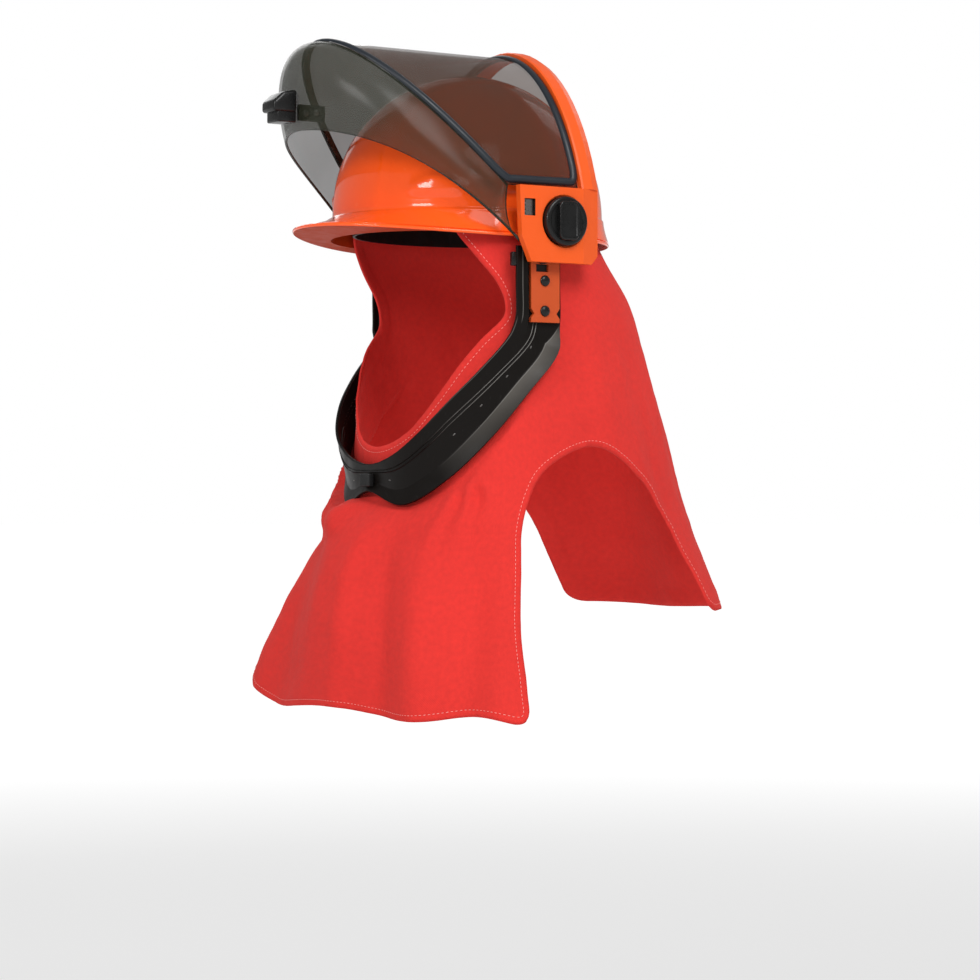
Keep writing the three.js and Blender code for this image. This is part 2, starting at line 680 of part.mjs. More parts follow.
// Chin guard: the rows from the right arm to the chin, then on to the left arm
function guardEdge(edge) {
  const half = GUARD_ROWS.map(
    (row) => new THREE.Vector3(row[`${edge}X`], row[`${edge}Y`], row[`${edge}Z`]),
  );
  const right = half.map((p) => new THREE.Vector3(-p.x, p.y, p.z));
  const left = half.slice(0, -1).reverse();
  return new THREE.CatmullRomCurve3([...right, ...left], false, "centripetal");
}
const guardTop = guardEdge("top");
const guardLow = guardEdge("low");
const within = (t) => THREE.MathUtils.clamp(t, 0, 1);
const guardPlace = (u, v) => guardTop.getPoint(within(u)).lerp(guardLow.getPoint(within(u)), v);
function guardLift(u, v) {
  const fromEnd = Math.min(u, 1 - u);
  const onArm = 1 - THREE.MathUtils.smoothstep(fromEnd, GUARD.railFade, GUARD.railEnd);
  const rail = v <= GUARD.railWidth ? GUARD.rail * onArm : 0;
  const upper = GUARD_RELIEF.findIndex((row) => row.across >= v);
  const next = GUARD_RELIEF[upper];
  const last = GUARD_RELIEF[Math.max(0, upper - 1)];
  const part = next.across > last.across ? (v - last.across) / (next.across - last.across) : 0;
  return rail + THREE.MathUtils.lerp(last.lift, next.lift, part) * (1 - onArm);
}
const guardSteps = evenSteps(0, 1, GUARD.segments);
const guardLines = GUARD_RELIEF.map((row) => row.across);
const chinGuard = wall(
  grid(guardPlace, guardSteps, guardLines, guardLift),
  grid(guardPlace, guardSteps, guardLines, () => -GUARD.wall),
);
addPiece("chin_guard", chinGuard, blackPlastic);
const guardCatch = block(
  -CATCH.halfWidth,
  CATCH.halfWidth,
  CATCH.frontY,
  CATCH.rearY,
  CATCH.bottomZ,
  CATCH.topZ,
);
addPiece("guard_catch", guardCatch, blackPlastic);

// Hood: a wall through the level rows, opened for the face and over both shoulders
const hoodColumn = (name) =>
  new THREE.CubicInterpolant(
    HOOD_ROWS.map((row) => row.z),
    HOOD_ROWS.map((row) => row[name]),
    1,
    new Float32Array(1),
  );
const hoodColumns = Object.fromEntries(
  ["halfWidth", "centreY", "front", "back"].map((name) => [name, hoodColumn(name)]),
);
const hoodSize = (name, z) => hoodColumns[name].evaluate(z)[0];
function hoodFold(turn, z) {
  const degrees = THREE.MathUtils.radToDeg(turn);
  return HOOD_FOLDS.reduce((sum, fold) => {
    const apart = THREE.MathUtils.euclideanModulo(degrees - fold.turn + 180, 360) - 180;
    const strength = 1 - THREE.MathUtils.smoothstep(z, fold.fullZ, fold.fromZ);
    return sum + fold.depth * strength * Math.exp(-((apart / fold.spread) ** 2));
  }, 0);
}
const hoodTurns = evenSteps(0, 2 * Math.PI, HOOD.segments).slice(0, -1);
function hoodRing(z, inset) {
  const centreY = hoodSize("centreY", z);
  return hoodTurns.map((turn) => {
    const out = hoodFold(turn, z) - inset;
    return oval(turn, {
      z,
      centreY,
      halfWidth: hoodSize("halfWidth", z) + out,
      front: centreY - hoodSize("front", z) + out,
      back: hoodSize("back", z) - centreY + out,
      power: HOOD.ovalPower,
    });
  });
}
function hoodCloth() {
  const levels = HOOD_ROWS.slice(1).flatMap(({ z }, i) => {
    const below = HOOD_ROWS[i].z;
    return evenSteps(below, z, Math.ceil((z - below) / HOOD.levelStep)).slice(0, -1);
  });
  levels.push(HOOD_ROWS.at(-1).z);
  const outside = levels.map((z) => hoodRing(z, 0));
  const inside = levels.map((z) => hoodRing(z, HOOD.wall)).reverse();
  const tube = skin([...outside, ...inside], true);
  const faceTop = FACE_EDGE[0];
  const faceLow = FACE_EDGE.at(-1);
  const face = [
    [faceTop[0], HOOD_CUT.overZ],
    ...FACE_EDGE,
    [-HOOD_CUT.y, faceLow[1]],
    [-HOOD_CUT.y, HOOD_CUT.overZ],
  ];
  const shoulder = [
    ...SHOULDER_EDGE,
    [SHOULDER_EDGE.at(-1)[0], HOOD_CUT.underZ],
    [SHOULDER_EDGE[0][0], HOOD_CUT.underZ],
  ];
  const hem = [
    [-HOOD_CUT.y, HEM.frontZ],
    [HEM.splitY, HEM.frontZ],
    [HEM.splitY, HEM.backZ],
    [HOOD_CUT.y, HEM.backZ],
    [HOOD_CUT.y, HOOD_CUT.underZ],
    [-HOOD_CUT.y, HOOD_CUT.underZ],
  ];
  return cut(tube, ...[face, shoulder, hem].map((outline) => sidePrism(outline, -HOOD_CUT.y, HOOD_CUT.y)));
}
addPiece("hood_cloth", hoodCloth(), redCloth);

export default root;
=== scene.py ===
"""Looks of a lift-front arc-flash hood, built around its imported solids.

Lengths in the tables are millimetres in the part's own frame: +Z up, -Y the front, +X the left side.
MM turns them into the scene's metres.
"""
import math
from collections import namedtuple

import bmesh
import bpy
import numpy as np
from mathutils import Matrix, Vector, noise


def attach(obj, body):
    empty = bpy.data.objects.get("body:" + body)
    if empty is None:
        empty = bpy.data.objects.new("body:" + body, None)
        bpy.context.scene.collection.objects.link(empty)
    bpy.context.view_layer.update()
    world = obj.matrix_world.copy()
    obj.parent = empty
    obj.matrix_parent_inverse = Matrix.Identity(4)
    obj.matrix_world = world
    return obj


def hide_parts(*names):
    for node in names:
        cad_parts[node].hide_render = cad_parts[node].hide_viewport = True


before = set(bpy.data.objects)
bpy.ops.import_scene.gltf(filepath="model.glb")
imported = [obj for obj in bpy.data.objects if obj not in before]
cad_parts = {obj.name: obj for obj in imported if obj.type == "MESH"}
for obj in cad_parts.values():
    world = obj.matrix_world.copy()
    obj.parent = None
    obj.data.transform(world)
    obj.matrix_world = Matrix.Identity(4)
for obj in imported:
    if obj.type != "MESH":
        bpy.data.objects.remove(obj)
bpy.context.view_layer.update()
MM = 0.001
# Vertices closer than this are one
JOIN = 1e-6
SIDES = (("left", 1), ("right", -1))

# Camera, floor and soft lights: degrees round from the front and up, metres and watts
CAMERA = {"azimuth": 58, "distance": 2.3, "target": Vector((0, 0.024, -0.202)), "lens": 101.4, "sensor": 36}
FLOOR = {"z": -1.0, "radius": 60, "glow_from": 1.2, "glow_to": 6.0, "glow": (0.1, 0.75)}
ROOM_LIGHT = {"on_the_part": 0.36, "seen": 1.0}
SoftLight = namedtuple("SoftLight", "name azimuth elevation distance size power")
SOFT_LIGHTS = (
    SoftLight("key", 86, 40, 2.6, (1.2, 1.2), 46),
    SoftLight("front", 24, 19, 2.6, (0.85, 0.6), 22),
    SoftLight("far side", -104, 30, 2.8, (1.4, 1.4), 13),
    SoftLight("back", 200, 35, 2.8, (1.2, 1.2), 6),
)

# Hard hat
HAT = {
    "base_z": 22, "dome": 116, "half_width": 105, "front": 109, "back": 113, "power": 2.15,
    "rim_half_width": 112, "rim_front": 116, "rim_back": 118, "rim_edge": 3,
    "peak_reach": 35, "peak_rise": 9, "peak_sharpness": 2.2, "wall": 3,
}
HAT_PANEL = {"half_width": 37, "rise": 1.7, "edge": 3.5}
HAT_BOSS = {"turn": 46, "z": 40, "half_turn": 13, "half_height": 9, "rise": 2.6, "sag": 4, "flat": 0.75}
HAT_STEP = {"rise": 1.3, "from": 0.02, "to": 0.12, "spread": 1.6, "peak": 1.35, "upward": 6}
HAT_STEPS = {"around": 144, "along": 120}
# Parts of the way from the crown over the rim to the inside of the crown; beyond the part for the duller
# underside, the shell is also painted darker as shade
HAT_WAY = {"flare": 0.5, "rim": 0.7, "under": 0.78, "inside": 0.84, "dull_and_shaded": 0.76}

# Visor lines, from the side over the crown to the middle of the front
VisorLine = namedtuple("VisorLine", "half_width side_y side_z apex_y apex_z bow")
ARCH_LINE = VisorLine(118.5, 32.5, 39, 32.5, 157, 0)
RIDGE_LINE = VisorLine(113.5, -30, 39, -141, 157, 0)
CREASE_LINE = VisorLine(119, -34, 13, -162, 138, 0)
FREE_LINE = VisorLine(119.5, -24, -6, -158, 84, 12)
VISOR_SIDE_SINE = 0.35
VISOR_STEPS = {"around": 96, "window": 24, "cup": 30}
WINDOW_WALL = 2
CUP = {"wall": 2.2, "start": 0.012}
GASKET = {
    "half_width": 3.2, "height": 2.4, "lift": 0.3, "steps": 420, "round": 16, "fullness": 0.7,
    "margin_u": 0.011, "margin_v": 0.024, "corner_u": 0.03, "corner_v": 0.06, "corner_points": 9,
    "measured_points": 3000,
}

# Lift tab's block and foot: outline in the side view as (y, z), half the width and the rounding of the edges
TabSlab = namedtuple("TabSlab", "outline half_width edge segments")
TAB_BLOCK = TabSlab(((-163.2, 116), (-175, 114), (-184, 106), (-184, 98), (-163.2, 98)), 11, 2.4, 4)
TAB_FOOT = TabSlab(((-163.2, 101), (-180, 101), (-180, 90), (-163.2, 90)), 9.4, 1.2, 3)

# Knobs and rivets
KNOB = {
    "y": 15, "z": 11, "foot": 123.6, "face": 130.6, "radius": 19.6, "sides": 72,
    "edge": 2, "edge_steps": 4, "rim": 1.6, "dish_slope": 1.2, "dish": 1.1,
}
KNOB_BAR = {
    "width": 18, "length": 31, "face": 134.1, "sunk": 2, "corner": 4.6, "corner_steps": 6,
    "edge": 1.0, "edge_steps": 3, "rim": 0.9, "dish_slope": 0.7, "dish": 0.8,
}
RIVET = {"foot": 116.1, "radius": 4.4, "height": 2.2, "y": 3, "levels": (("upper", -36), ("lower", -60))}

# Slots painted dark inside as shade: middle and half the size on each axis, with X measured outwards
BRACKET_SLOT = (("X", 113, 2), ("Y", 0.6, 5.6), ("Z", -26, 3.1))
PLATE_SLOT = (("X", 122, 3.5), ("Y", -17.5, 5.4), ("Z", 20.8, 6.9))

# Chin guard stations from an arm's top, along the jaw, to the middle of the chin
GuardRow = namedtuple("GuardRow", "top_x top_y top_z low_x low_y low_z")
GUARD_ROWS = (
    GuardRow(112, -23, -9, 112, 20, -9),
    GuardRow(112, -23, -38, 112, 20, -38),
    GuardRow(112, -23, -64, 112, 20, -70),
    GuardRow(111, -27, -80, 113.5, 13, -96),
    GuardRow(104, -50, -107, 112, -10, -123),
    GuardRow(90, -70, -131, 104, -38, -158),
    GuardRow(68, -85, -156, 80, -64, -192),
    GuardRow(36, -91, -174, 44, -83, -213),
    GuardRow(0, -92, -181, 0, -89, -202),
)
GUARD_STEPS = {"around": 220, "across": 168}
GUARD = {
    "wall": 2.6, "rail": 4, "rail_width": 0.265, "rail_edge": 0.03, "rail_fade": 0.12, "rail_end": 0.17,
    "edge_drop": 0.3, "edge_width": 0.03,
}
# Relief across the guard from its upper to its lower edge: a pair of beads, and the flared flange
GuardRelief = namedtuple("GuardRelief", "across lift")
BEAD_RELIEF = (
    GuardRelief(0.225, 0.3), GuardRelief(0.237, 1.0), GuardRelief(0.249, 0.2),
    GuardRelief(0.293, 0.2), GuardRelief(0.305, 1.0), GuardRelief(0.317, 0.3),
)
FLANGE_RELIEF = (
    GuardRelief(0.7, 0.0), GuardRelief(0.73, 0.4), GuardRelief(0.86, 2.2), GuardRelief(1, 4.3),
)
# Painted highlights along lines that catch the light: how far across, half the width, and the shade
GuardLine = namedtuple("GuardLine", "across half shade")
BEAD_LINES = (GuardLine(0.237, 0.01, 0.2), GuardLine(0.305, 0.01, 0.2))
FLANGE_LINE = GuardLine(0.732, 0.012, 0.14)
# Painted light across the flange: it grows from start to full, and fades from fade to end, where at_end of
# it is left
PAINTED_FLANGE_LIGHT = {"start": 0.715, "full": 0.74, "fade": 0.76, "end": 1.0, "at_end": 0.4}
EDGE_LINE = GuardLine(0.012, 0.012, 0.08)
ARM_LINE = GuardLine(0.12, 0.012, 0.12)
# Painted highlights: how their strength falls off from a line's core, and their tint
LINE_PAINTED_GLINT = {"core": 0.3, "strength": 0.9, "tint": (1, 0.95, 0.88)}
# From the chin to an arm, where the painted light on the flange and the painted highlights along the lines
# start to show, are full, fade and are gone
GUARD_SHOWS = (0.12, 0.24, 0.355, 0.375)
# Towards the arms the beads and the flange move down across the strip: from, to, and how far
BEAD_VEER = (0.16, 0.375, 0.18)
FLANGE_VEER = (0.328, 0.375, 0.27)
GUARD_STUDS = {"along": (0.19, 0.244, 0.294, 0.341, 0.455), "across": 0.49, "size": (2.8, 1.2, 0.9)}
# Small lug at the front of each arm's top, as the span of x, y and z
GUARD_LUG = ((110.5, 115.2), (-26.8, -20), (-25, -14))
GUARD_LUG_EDGE = 0.9

# Hood levels
HoodRow = namedtuple("HoodRow", "z half_width centre_y front back")
HOOD_ROWS = (
    HoodRow(-392, 222, -70, -142, 240),
    HoodRow(-345, 198, -42, -136, 233),
    HoodRow(-290, 164, -6, -126, 220),
    HoodRow(-250, 142, 8, -112, 205),
    HoodRow(-230, 132, 12, -99, 198),
    HoodRow(-215, 127, 14, -86, 192.5),
    HoodRow(-203, 124, 15, -81, 188.5),
    HoodRow(-180, 118, 15, -84, 184),
    HoodRow(-140, 112, 14, -84, 175),
    HoodRow(-90, 107.5, 12, -86, 160.5),
    HoodRow(-45, 106, 8, -90, 143),
    HoodRow(-10, 104.5, 2, -95, 116),
    HoodRow(2, 102.2, 0, -97, 109.4),
    HoodRow(14, 100.6, 0, -97, 107.6),
)
HOOD_POWER = 2.1
HOOD_TOP = 14
BELOW_HAT = HOOD_TOP - 0.5
HOOD_STEPS = {"around": 300, "down": 116, "below_hem": 4}
HOOD_WALL = {"hem": 1.9, "plain_part": 0.7, "hem_width": 11, "hem_step": 1.5}
# Folds: turn in degrees from the front to the left, lean in degrees in 100 mm, died out below gone_z
Fold = namedtuple("Fold", "turn spread depth from_z full_z lean gone_z", defaults=(0, -900))
MAIN_FOLDS = (
    Fold(36, 7, 9, -212, -300),
    Fold(56, 8, -9, -205, -310),
    Fold(-30, 8, 9, -212, -310),
    Fold(-52, 8, -8, -205, -310),
    Fold(0, 13, 11, -203, -250),
    Fold(162, 9, 7, -60, -220),
    Fold(-158, 9, 8, -60, -220),
    Fold(180, 8, -6, -80, -240),
)
FINE_FOLDS = (
    Fold(9, 4, 4, -216, -250, 0),
    Fold(21, 4.5, -3.5, -216, -270, 2),
    Fold(-10, 8, 13, -204.5, -211, -4, -262),
    Fold(104, 6, 1.8, -30, -110, 5),
    Fold(122, 5, -2, -40, -130, 6),
    Fold(140, 5, 2.2, -40, -150, 4),
    Fold(-104, 6, 1.8, -30, -110, -5),
    Fold(-124, 5, -2.2, -40, -130, -6),
    Fold(-141, 5, 2, -40, -150, -4),
)
GATHERS = (
    Fold(40, 1.8, 2.4, -199, -212, -9, -268),
    Fold(43.5, 1.5, -2.2, -198, -208, -4, -275),
    Fold(46.5, 1.6, 2.6, -196, -206, 1, -285),
    Fold(50, 1.6, -2.4, -194, -205, 6, -275),
    Fold(53.5, 1.9, 2.2, -190, -203, 11, -262),
    Fold(-40, 1.8, 2.4, -199, -212, 9, -268),
    Fold(-44, 1.6, -2.2, -198, -208, 3, -275),
    Fold(-48, 1.7, 2.4, -196, -206, -4, -280),
    Fold(-52, 1.9, -2.2, -192, -204, -10, -265),
)
# The chin guard's lower edge as the cloth meets it, and how far the cloth puffs out under it
GuardFoot = namedtuple("GuardFoot", "turn z left_puff right_puff")
GUARD_FEET = (
    GuardFoot(0, -204, 6, 6),
    GuardFoot(12, -208, 5, 10),
    GuardFoot(24, -214, 4, 11),
    GuardFoot(45, -192, 5, 20),
    GuardFoot(63, -158, 4, 20),
    GuardFoot(77, -123, 2, 8),
    GuardFoot(91, -96, 0, 0),
)
PUFF = {"start": 1.5, "swell": 9, "full_z": -218, "gone_z": -246}
# Where the bib rides up on the right side, the wave of the hems and the small creases
RIDE_UP = {"height": 22, "from_turn": -12, "to_turn": -50, "last_turn": 110, "from_z": -270, "to_z": -376}
HEM_WAVE = {"height": 3, "waves": 7, "shift": 40, "from_z": -250}
CLOTH_CREASES = {"depth": 0.9, "size": 26, "from_z": -20, "full_z": -110, "fractal": (0.9, 2.0, 3)}
# Edge of the face opening from under the hat to the middle of the chin, as (turn, z)
FACE_EDGE = (
    (50, 16), (54, 0), (61, -19), (68.5, -38), (71, -54), (69, -66),
    (58, -83), (46.6, -104), (34, -130), (19, -156), (0, -167),
)
DEGREE_WIDTH = 1.8
# Outline of the shoulder arches in the side view, as (y, z)
SHOULDER_EDGE = (
    (-78, -400), (-60, -330), (-38, -270), (-20, -217), (4, -184),
    (54, -167), (100, -190), (128, -222), (152, -262), (176, -305),
)
HEM = {"front_z": -376, "back_z": -302, "split_y": 60, "corner": 13}
HOOD_REACH = {"y": 400, "over": 60, "under": -460}
# Cut edges are fitted in rounds, by no more than a step in millimetres each, and less where the cut is flat
EDGE_FIT = {"rounds": 5, "step": 4, "least_slope": 0.04, "inset_rounds": 4, "least_length": 0.05}
STITCH = {"pitch": 3.6, "length": 2.5, "width": 0.55, "inset": 4.6, "lift": 0.1}
TWILL = {
    "threads_to_ribs": 2.3, "thread_height": 0.22,
    "slub_shade": 0.55, "drift_shade": 0.45, "weave_shade": 0.12,
}


# Shader node groups
def new_group(name, inputs, outputs):
    tree = bpy.data.node_groups.new(name, "ShaderNodeTree")
    for socket, kind, value in inputs:
        made = tree.interface.new_socket(socket, in_out="INPUT", socket_type=kind)
        made.default_value = value
    for socket, kind in outputs:
        tree.interface.new_socket(socket, in_out="OUTPUT", socket_type=kind)
    return tree, tree.nodes.new("NodeGroupInput"), tree.nodes.new("NodeGroupOutput")


def feed(tree, value, socket):
    """Links an output to a socket, or sets a plain value on it."""
    if isinstance(value, bpy.types.NodeSocket):
        tree.links.new(value, socket)
    else:
        socket.default_value = value


def noise_node(tree, vector, scale, detail):
    node = tree.nodes.new("ShaderNodeTexNoise")
    node.inputs["Detail"].default_value = detail
    tree.links.new(vector, node.inputs["Vector"])
    feed(tree, scale, node.inputs["Scale"])
    return node.outputs["Fac"]


def math_node(tree, operation, first, second):
    node = tree.nodes.new("ShaderNodeMath")
    node.operation = operation
    for socket, value in zip(node.inputs, (first, second)):
        feed(tree, value, socket)
    return node.outputs[0]


def distance_node(tree, value, middle):
    """How far a value lies from the middle, on either side of it."""
    return math_node(tree, "ABSOLUTE", math_node(tree, "SUBTRACT", value, middle), 0.0)


def spread_node(tree, value, from_low, from_high, low, high):
    node = tree.nodes.new("ShaderNodeMapRange")
    tree.links.new(value, node.inputs["Value"])
    for name, given in (("From Min", from_low), ("From Max", from_high), ("To Min", low), ("To Max", high)):
        feed(tree, given, node.inputs[name])
    return node.outputs["Result"]


def mix_node(tree, factor, first, second):
    node = tree.nodes.new("ShaderNodeMix")
    node.data_type = "RGBA"
    for name, value in (("Factor", factor), ("A", first), ("B", second)):
        feed(tree, value, node.inputs[name])
    return node.outputs["Result"]


def relief_node(tree, height, strength, distance):
    node = tree.nodes.new("ShaderNodeBump")
    node.inputs["Distance"].default_value = distance
    tree.links.new(strength, node.inputs["Strength"])
    tree.links.new(height, node.inputs["Height"])
    return node.outputs["Normal"]


def split_node(tree, vector):
    node = tree.nodes.new("ShaderNodeSeparateXYZ")
    tree.links.new(vector, node.inputs["Vector"])
    return node.outputs


def cut_map(tree):
    """The piece's own map, as its sheet was cut."""
    node = tree.nodes.new("ShaderNodeUVMap")
    node.uv_map = "cut"
    return node.outputs["UV"]


def object_place(tree):
    return tree.nodes.new("ShaderNodeTexCoord").outputs["Object"]


def moulded_surface_group():
    """Moulded plastic: a fine orange-peel bump, uneven gloss and a slow drift of the colour."""
    tree, given, made = new_group(
        "moulded surface",
        (
            ("Colour", "NodeSocketColor", (0.5, 0.5, 0.5, 1)),
            ("Scuffed", "NodeSocketColor", (0.6, 0.6, 0.6, 1)),
            ("Grain", "NodeSocketFloat", 900.0),
            ("Bump", "NodeSocketFloat", 0.05),
            ("Smooth", "NodeSocketFloat", 0.2),
            ("Rough", "NodeSocketFloat", 0.35),
        ),
        (("Colour", "NodeSocketColor"), ("Roughness", "NodeSocketFloat"), ("Normal", "NodeSocketVector")),
    )
    place = object_place(tree)
    slow = noise_node(tree, place, 14.0, 3.0)
    handling = noise_node(tree, place, 95.0, 6.0)
    streaks = tree.nodes.new("ShaderNodeMapping")
    streaks.inputs["Scale"].default_value = (30.0, 420.0, 90.0)
    tree.links.new(place, streaks.inputs["Vector"])
    scratch = noise_node(tree, streaks.outputs["Vector"], 2.0, 2.0)
    wear_and_glint = math_node(tree, "MULTIPLY", spread_node(tree, scratch, 0.66, 0.78, 0.0, 0.35), slow)
    shade = mix_node(tree, wear_and_glint, given.outputs["Colour"], given.outputs["Scuffed"])
    tree.links.new(shade, made.inputs["Colour"])
    gloss = spread_node(tree, handling, 0.3, 0.7, given.outputs["Smooth"], given.outputs["Rough"])
    tree.links.new(gloss, made.inputs["Roughness"])
    grain = noise_node(tree, place, given.outputs["Grain"], 2.0)
    tree.links.new(relief_node(tree, grain, given.outputs["Bump"], 0.0005), made.inputs["Normal"])
    return tree


def woven_twill_group():
    """Twill: diagonal ribs crossed by threads, with slubs and a slow change of shade."""
    tree, given, made = new_group(
        "woven twill",
        (
            ("Light", "NodeSocketColor", (0.8, 0.1, 0.1, 1)),
            ("Dark", "NodeSocketColor", (0.5, 0.05, 0.05, 1)),
            ("Cut", "NodeSocketVector", (0.9, 0.39, 1.0)),
            ("Ribs", "NodeSocketFloat", 1100.0),
            ("Depth", "NodeSocketFloat", 0.25),
        ),
        (("Colour", "NodeSocketColor"), ("Roughness", "NodeSocketFloat"), ("Normal", "NodeSocketVector")),
    )
    flat = tree.nodes.new("ShaderNodeVectorMath")
    flat.operation = "MULTIPLY"
    tree.links.new(cut_map(tree), flat.inputs[0])
    tree.links.new(given.outputs["Cut"], flat.inputs[1])
    split = split_node(tree, flat.outputs["Vector"])
    slant = math_node(tree, "ADD", split["X"], split["Y"])
    ribs = math_node(tree, "SINE", math_node(tree, "MULTIPLY", slant, given.outputs["Ribs"]), 0.0)
    across = math_node(tree, "SUBTRACT", split["X"], split["Y"])
    finer = math_node(tree, "MULTIPLY", given.outputs["Ribs"], TWILL["threads_to_ribs"])
    threads = math_node(tree, "SINE", math_node(tree, "MULTIPLY", across, finer), 0.0)
    weave = math_node(tree, "MULTIPLY_ADD", ribs, 0.5)
    weave.node.inputs[2].default_value = 0.5
    crossing = math_node(tree, "MULTIPLY", threads, TWILL["thread_height"])
    height = math_node(tree, "ADD", weave, crossing)
    slubs = noise_node(tree, flat.outputs["Vector"], 240.0, 4.0)
    drift = noise_node(tree, flat.outputs["Vector"], 9.0, 3.0)
    shade = math_node(tree, "MULTIPLY", slubs, TWILL["slub_shade"])
    for source, part in ((drift, "drift_shade"), (height, "weave_shade")):
        shade = math_node(tree, "ADD", shade, math_node(tree, "MULTIPLY", source, TWILL[part]))
    shade = spread_node(tree, shade, 0.35, 0.8, 0.0, 1.0)
    shade = mix_node(tree, shade, given.outputs["Dark"], given.outputs["Light"])
    tree.links.new(shade, made.inputs["Colour"])
    tree.links.new(spread_node(tree, slubs, 0.2, 0.8, 0.82, 0.95), made.inputs["Roughness"])
    height = math_node(tree, "ADD", height, slubs)
    tree.links.new(relief_node(tree, height, given.outputs["Depth"], 0.0003), made.inputs["Normal"])
    return tree


moulded_surface = moulded_surface_group()
woven_twill = woven_twill_group()


# Materials
def new_material(name):
    material = bpy.data.materials.new(name)
    material.use_nodes = True
    return material, material.node_tree, material.node_tree.nodes["Principled BSDF"]


def place_group(tree, group, **values):
    node = tree.nodes.new("ShaderNodeGroup")
    node.node_tree = group
    for name, value in values.items():
        node.inputs[name].default_value = value
    return node


def dress_shader(tree, shader, surface):
    """Feeds a surface's colour, gloss and relief into the shader."""
    for made, taken in (("Colour", "Base Color"), ("Roughness", "Roughness"), ("Normal", "Normal")):
        tree.links.new(surface.outputs[made], shader.inputs[taken])


def moulded_material(name, colour, scuffed, gloss, grain, bump, smooth, rough):
    """A material with the moulded surface, and that surface to build on."""
    material, tree, shader = new_material(name)
    surface = place_group(
        tree, moulded_surface,
        Colour=(*colour, 1), Scuffed=(*scuffed, 1), Grain=grain, Bump=bump, Smooth=smooth, Rough=rough,
    )
    dress_shader(tree, shader, surface)
    shader.inputs["Specular IOR Level"].default_value = gloss
    return material, tree, shader, surface


def moulded_plastic(name, colour, scuffed, smooth, rough, bump=0.06, grain=900.0, coat=0.0, gloss=0.3):
    material, _, shader, _ = moulded_material(name, colour, scuffed, gloss, grain, bump, smooth, rough)
    shader.inputs["Coat Weight"].default_value = coat
    shader.inputs["Coat Roughness"].default_value = 0.06
    return material


def flanged_plastic(name, colour, scuffed, flange):
    """Satin black plastic whose flange, the lower third of its width, is a duller grey along the jaw:
    painted light where the flange faces the light. Thin painted highlights run along the beads, the flange's
    crease, the upper edge and the arms' rails.
    """
    material, tree, shader, surface = moulded_material(
        name, colour, scuffed, gloss=0.11, grain=800.0, bump=0.08, smooth=0.3, rough=0.45
    )
    split = split_node(tree, cut_map(tree))
    from_chin = distance_node(tree, split["X"], 0.5)
    start, full, fade, gone = GUARD_SHOWS
    on_jaw = math_node(
        tree, "MULTIPLY", spread_node(tree, from_chin, start, full, 0.0, 1.0),
        spread_node(tree, from_chin, gone, fade, 0.0, 1.0),
    )
    veers = []
    for start_veer, end_veer, veer in (BEAD_VEER, FLANGE_VEER):
        moved = spread_node(tree, from_chin, start_veer, end_veer, 0.0, veer)
        veers.append(math_node(tree, "SUBTRACT", split["Y"], moved))
    beads, across = veers
    low = math_node(
        tree, "MULTIPLY", spread_node(tree, across, PAINTED_FLANGE_LIGHT["start"], PAINTED_FLANGE_LIGHT["full"], 0.0, 1.0),
        spread_node(tree, across, PAINTED_FLANGE_LIGHT["end"], PAINTED_FLANGE_LIGHT["fade"], PAINTED_FLANGE_LIGHT["at_end"], 1.0),
    )
    # Painted light: the flange is mixed towards a lighter grey, as where it faces the light
    shade = mix_node(tree, math_node(tree, "MULTIPLY", on_jaw, low), surface.outputs["Colour"], (*flange, 1))
    on_arm = spread_node(tree, from_chin, fade, gone, 0.0, 1.0)
    lines = [(line, beads, on_jaw) for line in BEAD_LINES] + [(FLANGE_LINE, across, on_jaw)]
    lines += [(EDGE_LINE, split["Y"], on_jaw), (ARM_LINE, split["Y"], on_arm)]
    # Painted highlights along the beads, the flange's crease, the upper edge and the arms' rails
    for line, at, shown in lines:
        apart = distance_node(tree, at, line.across)
        wear_and_glint = spread_node(tree, apart, LINE_PAINTED_GLINT["core"] * line.half, line.half, LINE_PAINTED_GLINT["strength"], 0.0)
        glint_colour = (*(part * line.shade for part in LINE_PAINTED_GLINT["tint"]), 1)
        shade = mix_node(tree, math_node(tree, "MULTIPLY", shown, wear_and_glint), shade, glint_colour)
    tree.links.new(shade, shader.inputs["Base Color"])
    return material


def slotted_plastic(name, colour, scuffed, slot, smooth, rough, gloss):
    """Satin plastic that is painted black inside its slot, as painted shade in the recess."""
    material, tree, shader, surface = moulded_material(
        name, colour, scuffed, gloss, grain=800.0, bump=0.06, smooth=smooth, rough=rough
    )
    split = split_node(tree, object_place(tree))
    outwards = math_node(tree, "ABSOLUTE", split["X"], 0.0)
    inside = 1.0
    for axis, middle, half in slot:
        apart = distance_node(tree, outwards if axis == "X" else split[axis], middle * MM)
        inside = math_node(tree, "MULTIPLY", inside, math_node(tree, "LESS_THAN", apart, half * MM))
    # Painted shade: the inside of the slot is painted near black
    shade = mix_node(tree, inside, surface.outputs["Colour"], (0.008, 0.006, 0.005, 1))
    tree.links.new(shade, shader.inputs["Base Color"])
    return material


def tinted_sheet(name, colour, thin, dense, from_x, to_x, smooth, rough):
    """Clear tinted plastic. It is denser towards the sides, from from_x to to_x."""
    scuffed = [1.6 * part for part in colour]
    material, tree, shader, _ = moulded_material(
        name, colour, scuffed, gloss=0.15, grain=60.0, bump=0.0001, smooth=smooth, rough=rough
    )
    place = object_place(tree)
    side = math_node(tree, "ABSOLUTE", split_node(tree, place)["X"], 0.0)
    depth = spread_node(tree, side, from_x * MM, to_x * MM, thin, dense)
    haze = spread_node(tree, noise_node(tree, place, 22.0, 3.0), 0.3, 0.7, -0.015, 0.015)
    tree.links.new(math_node(tree, "ADD", depth, haze), shader.inputs["Alpha"])
    return material


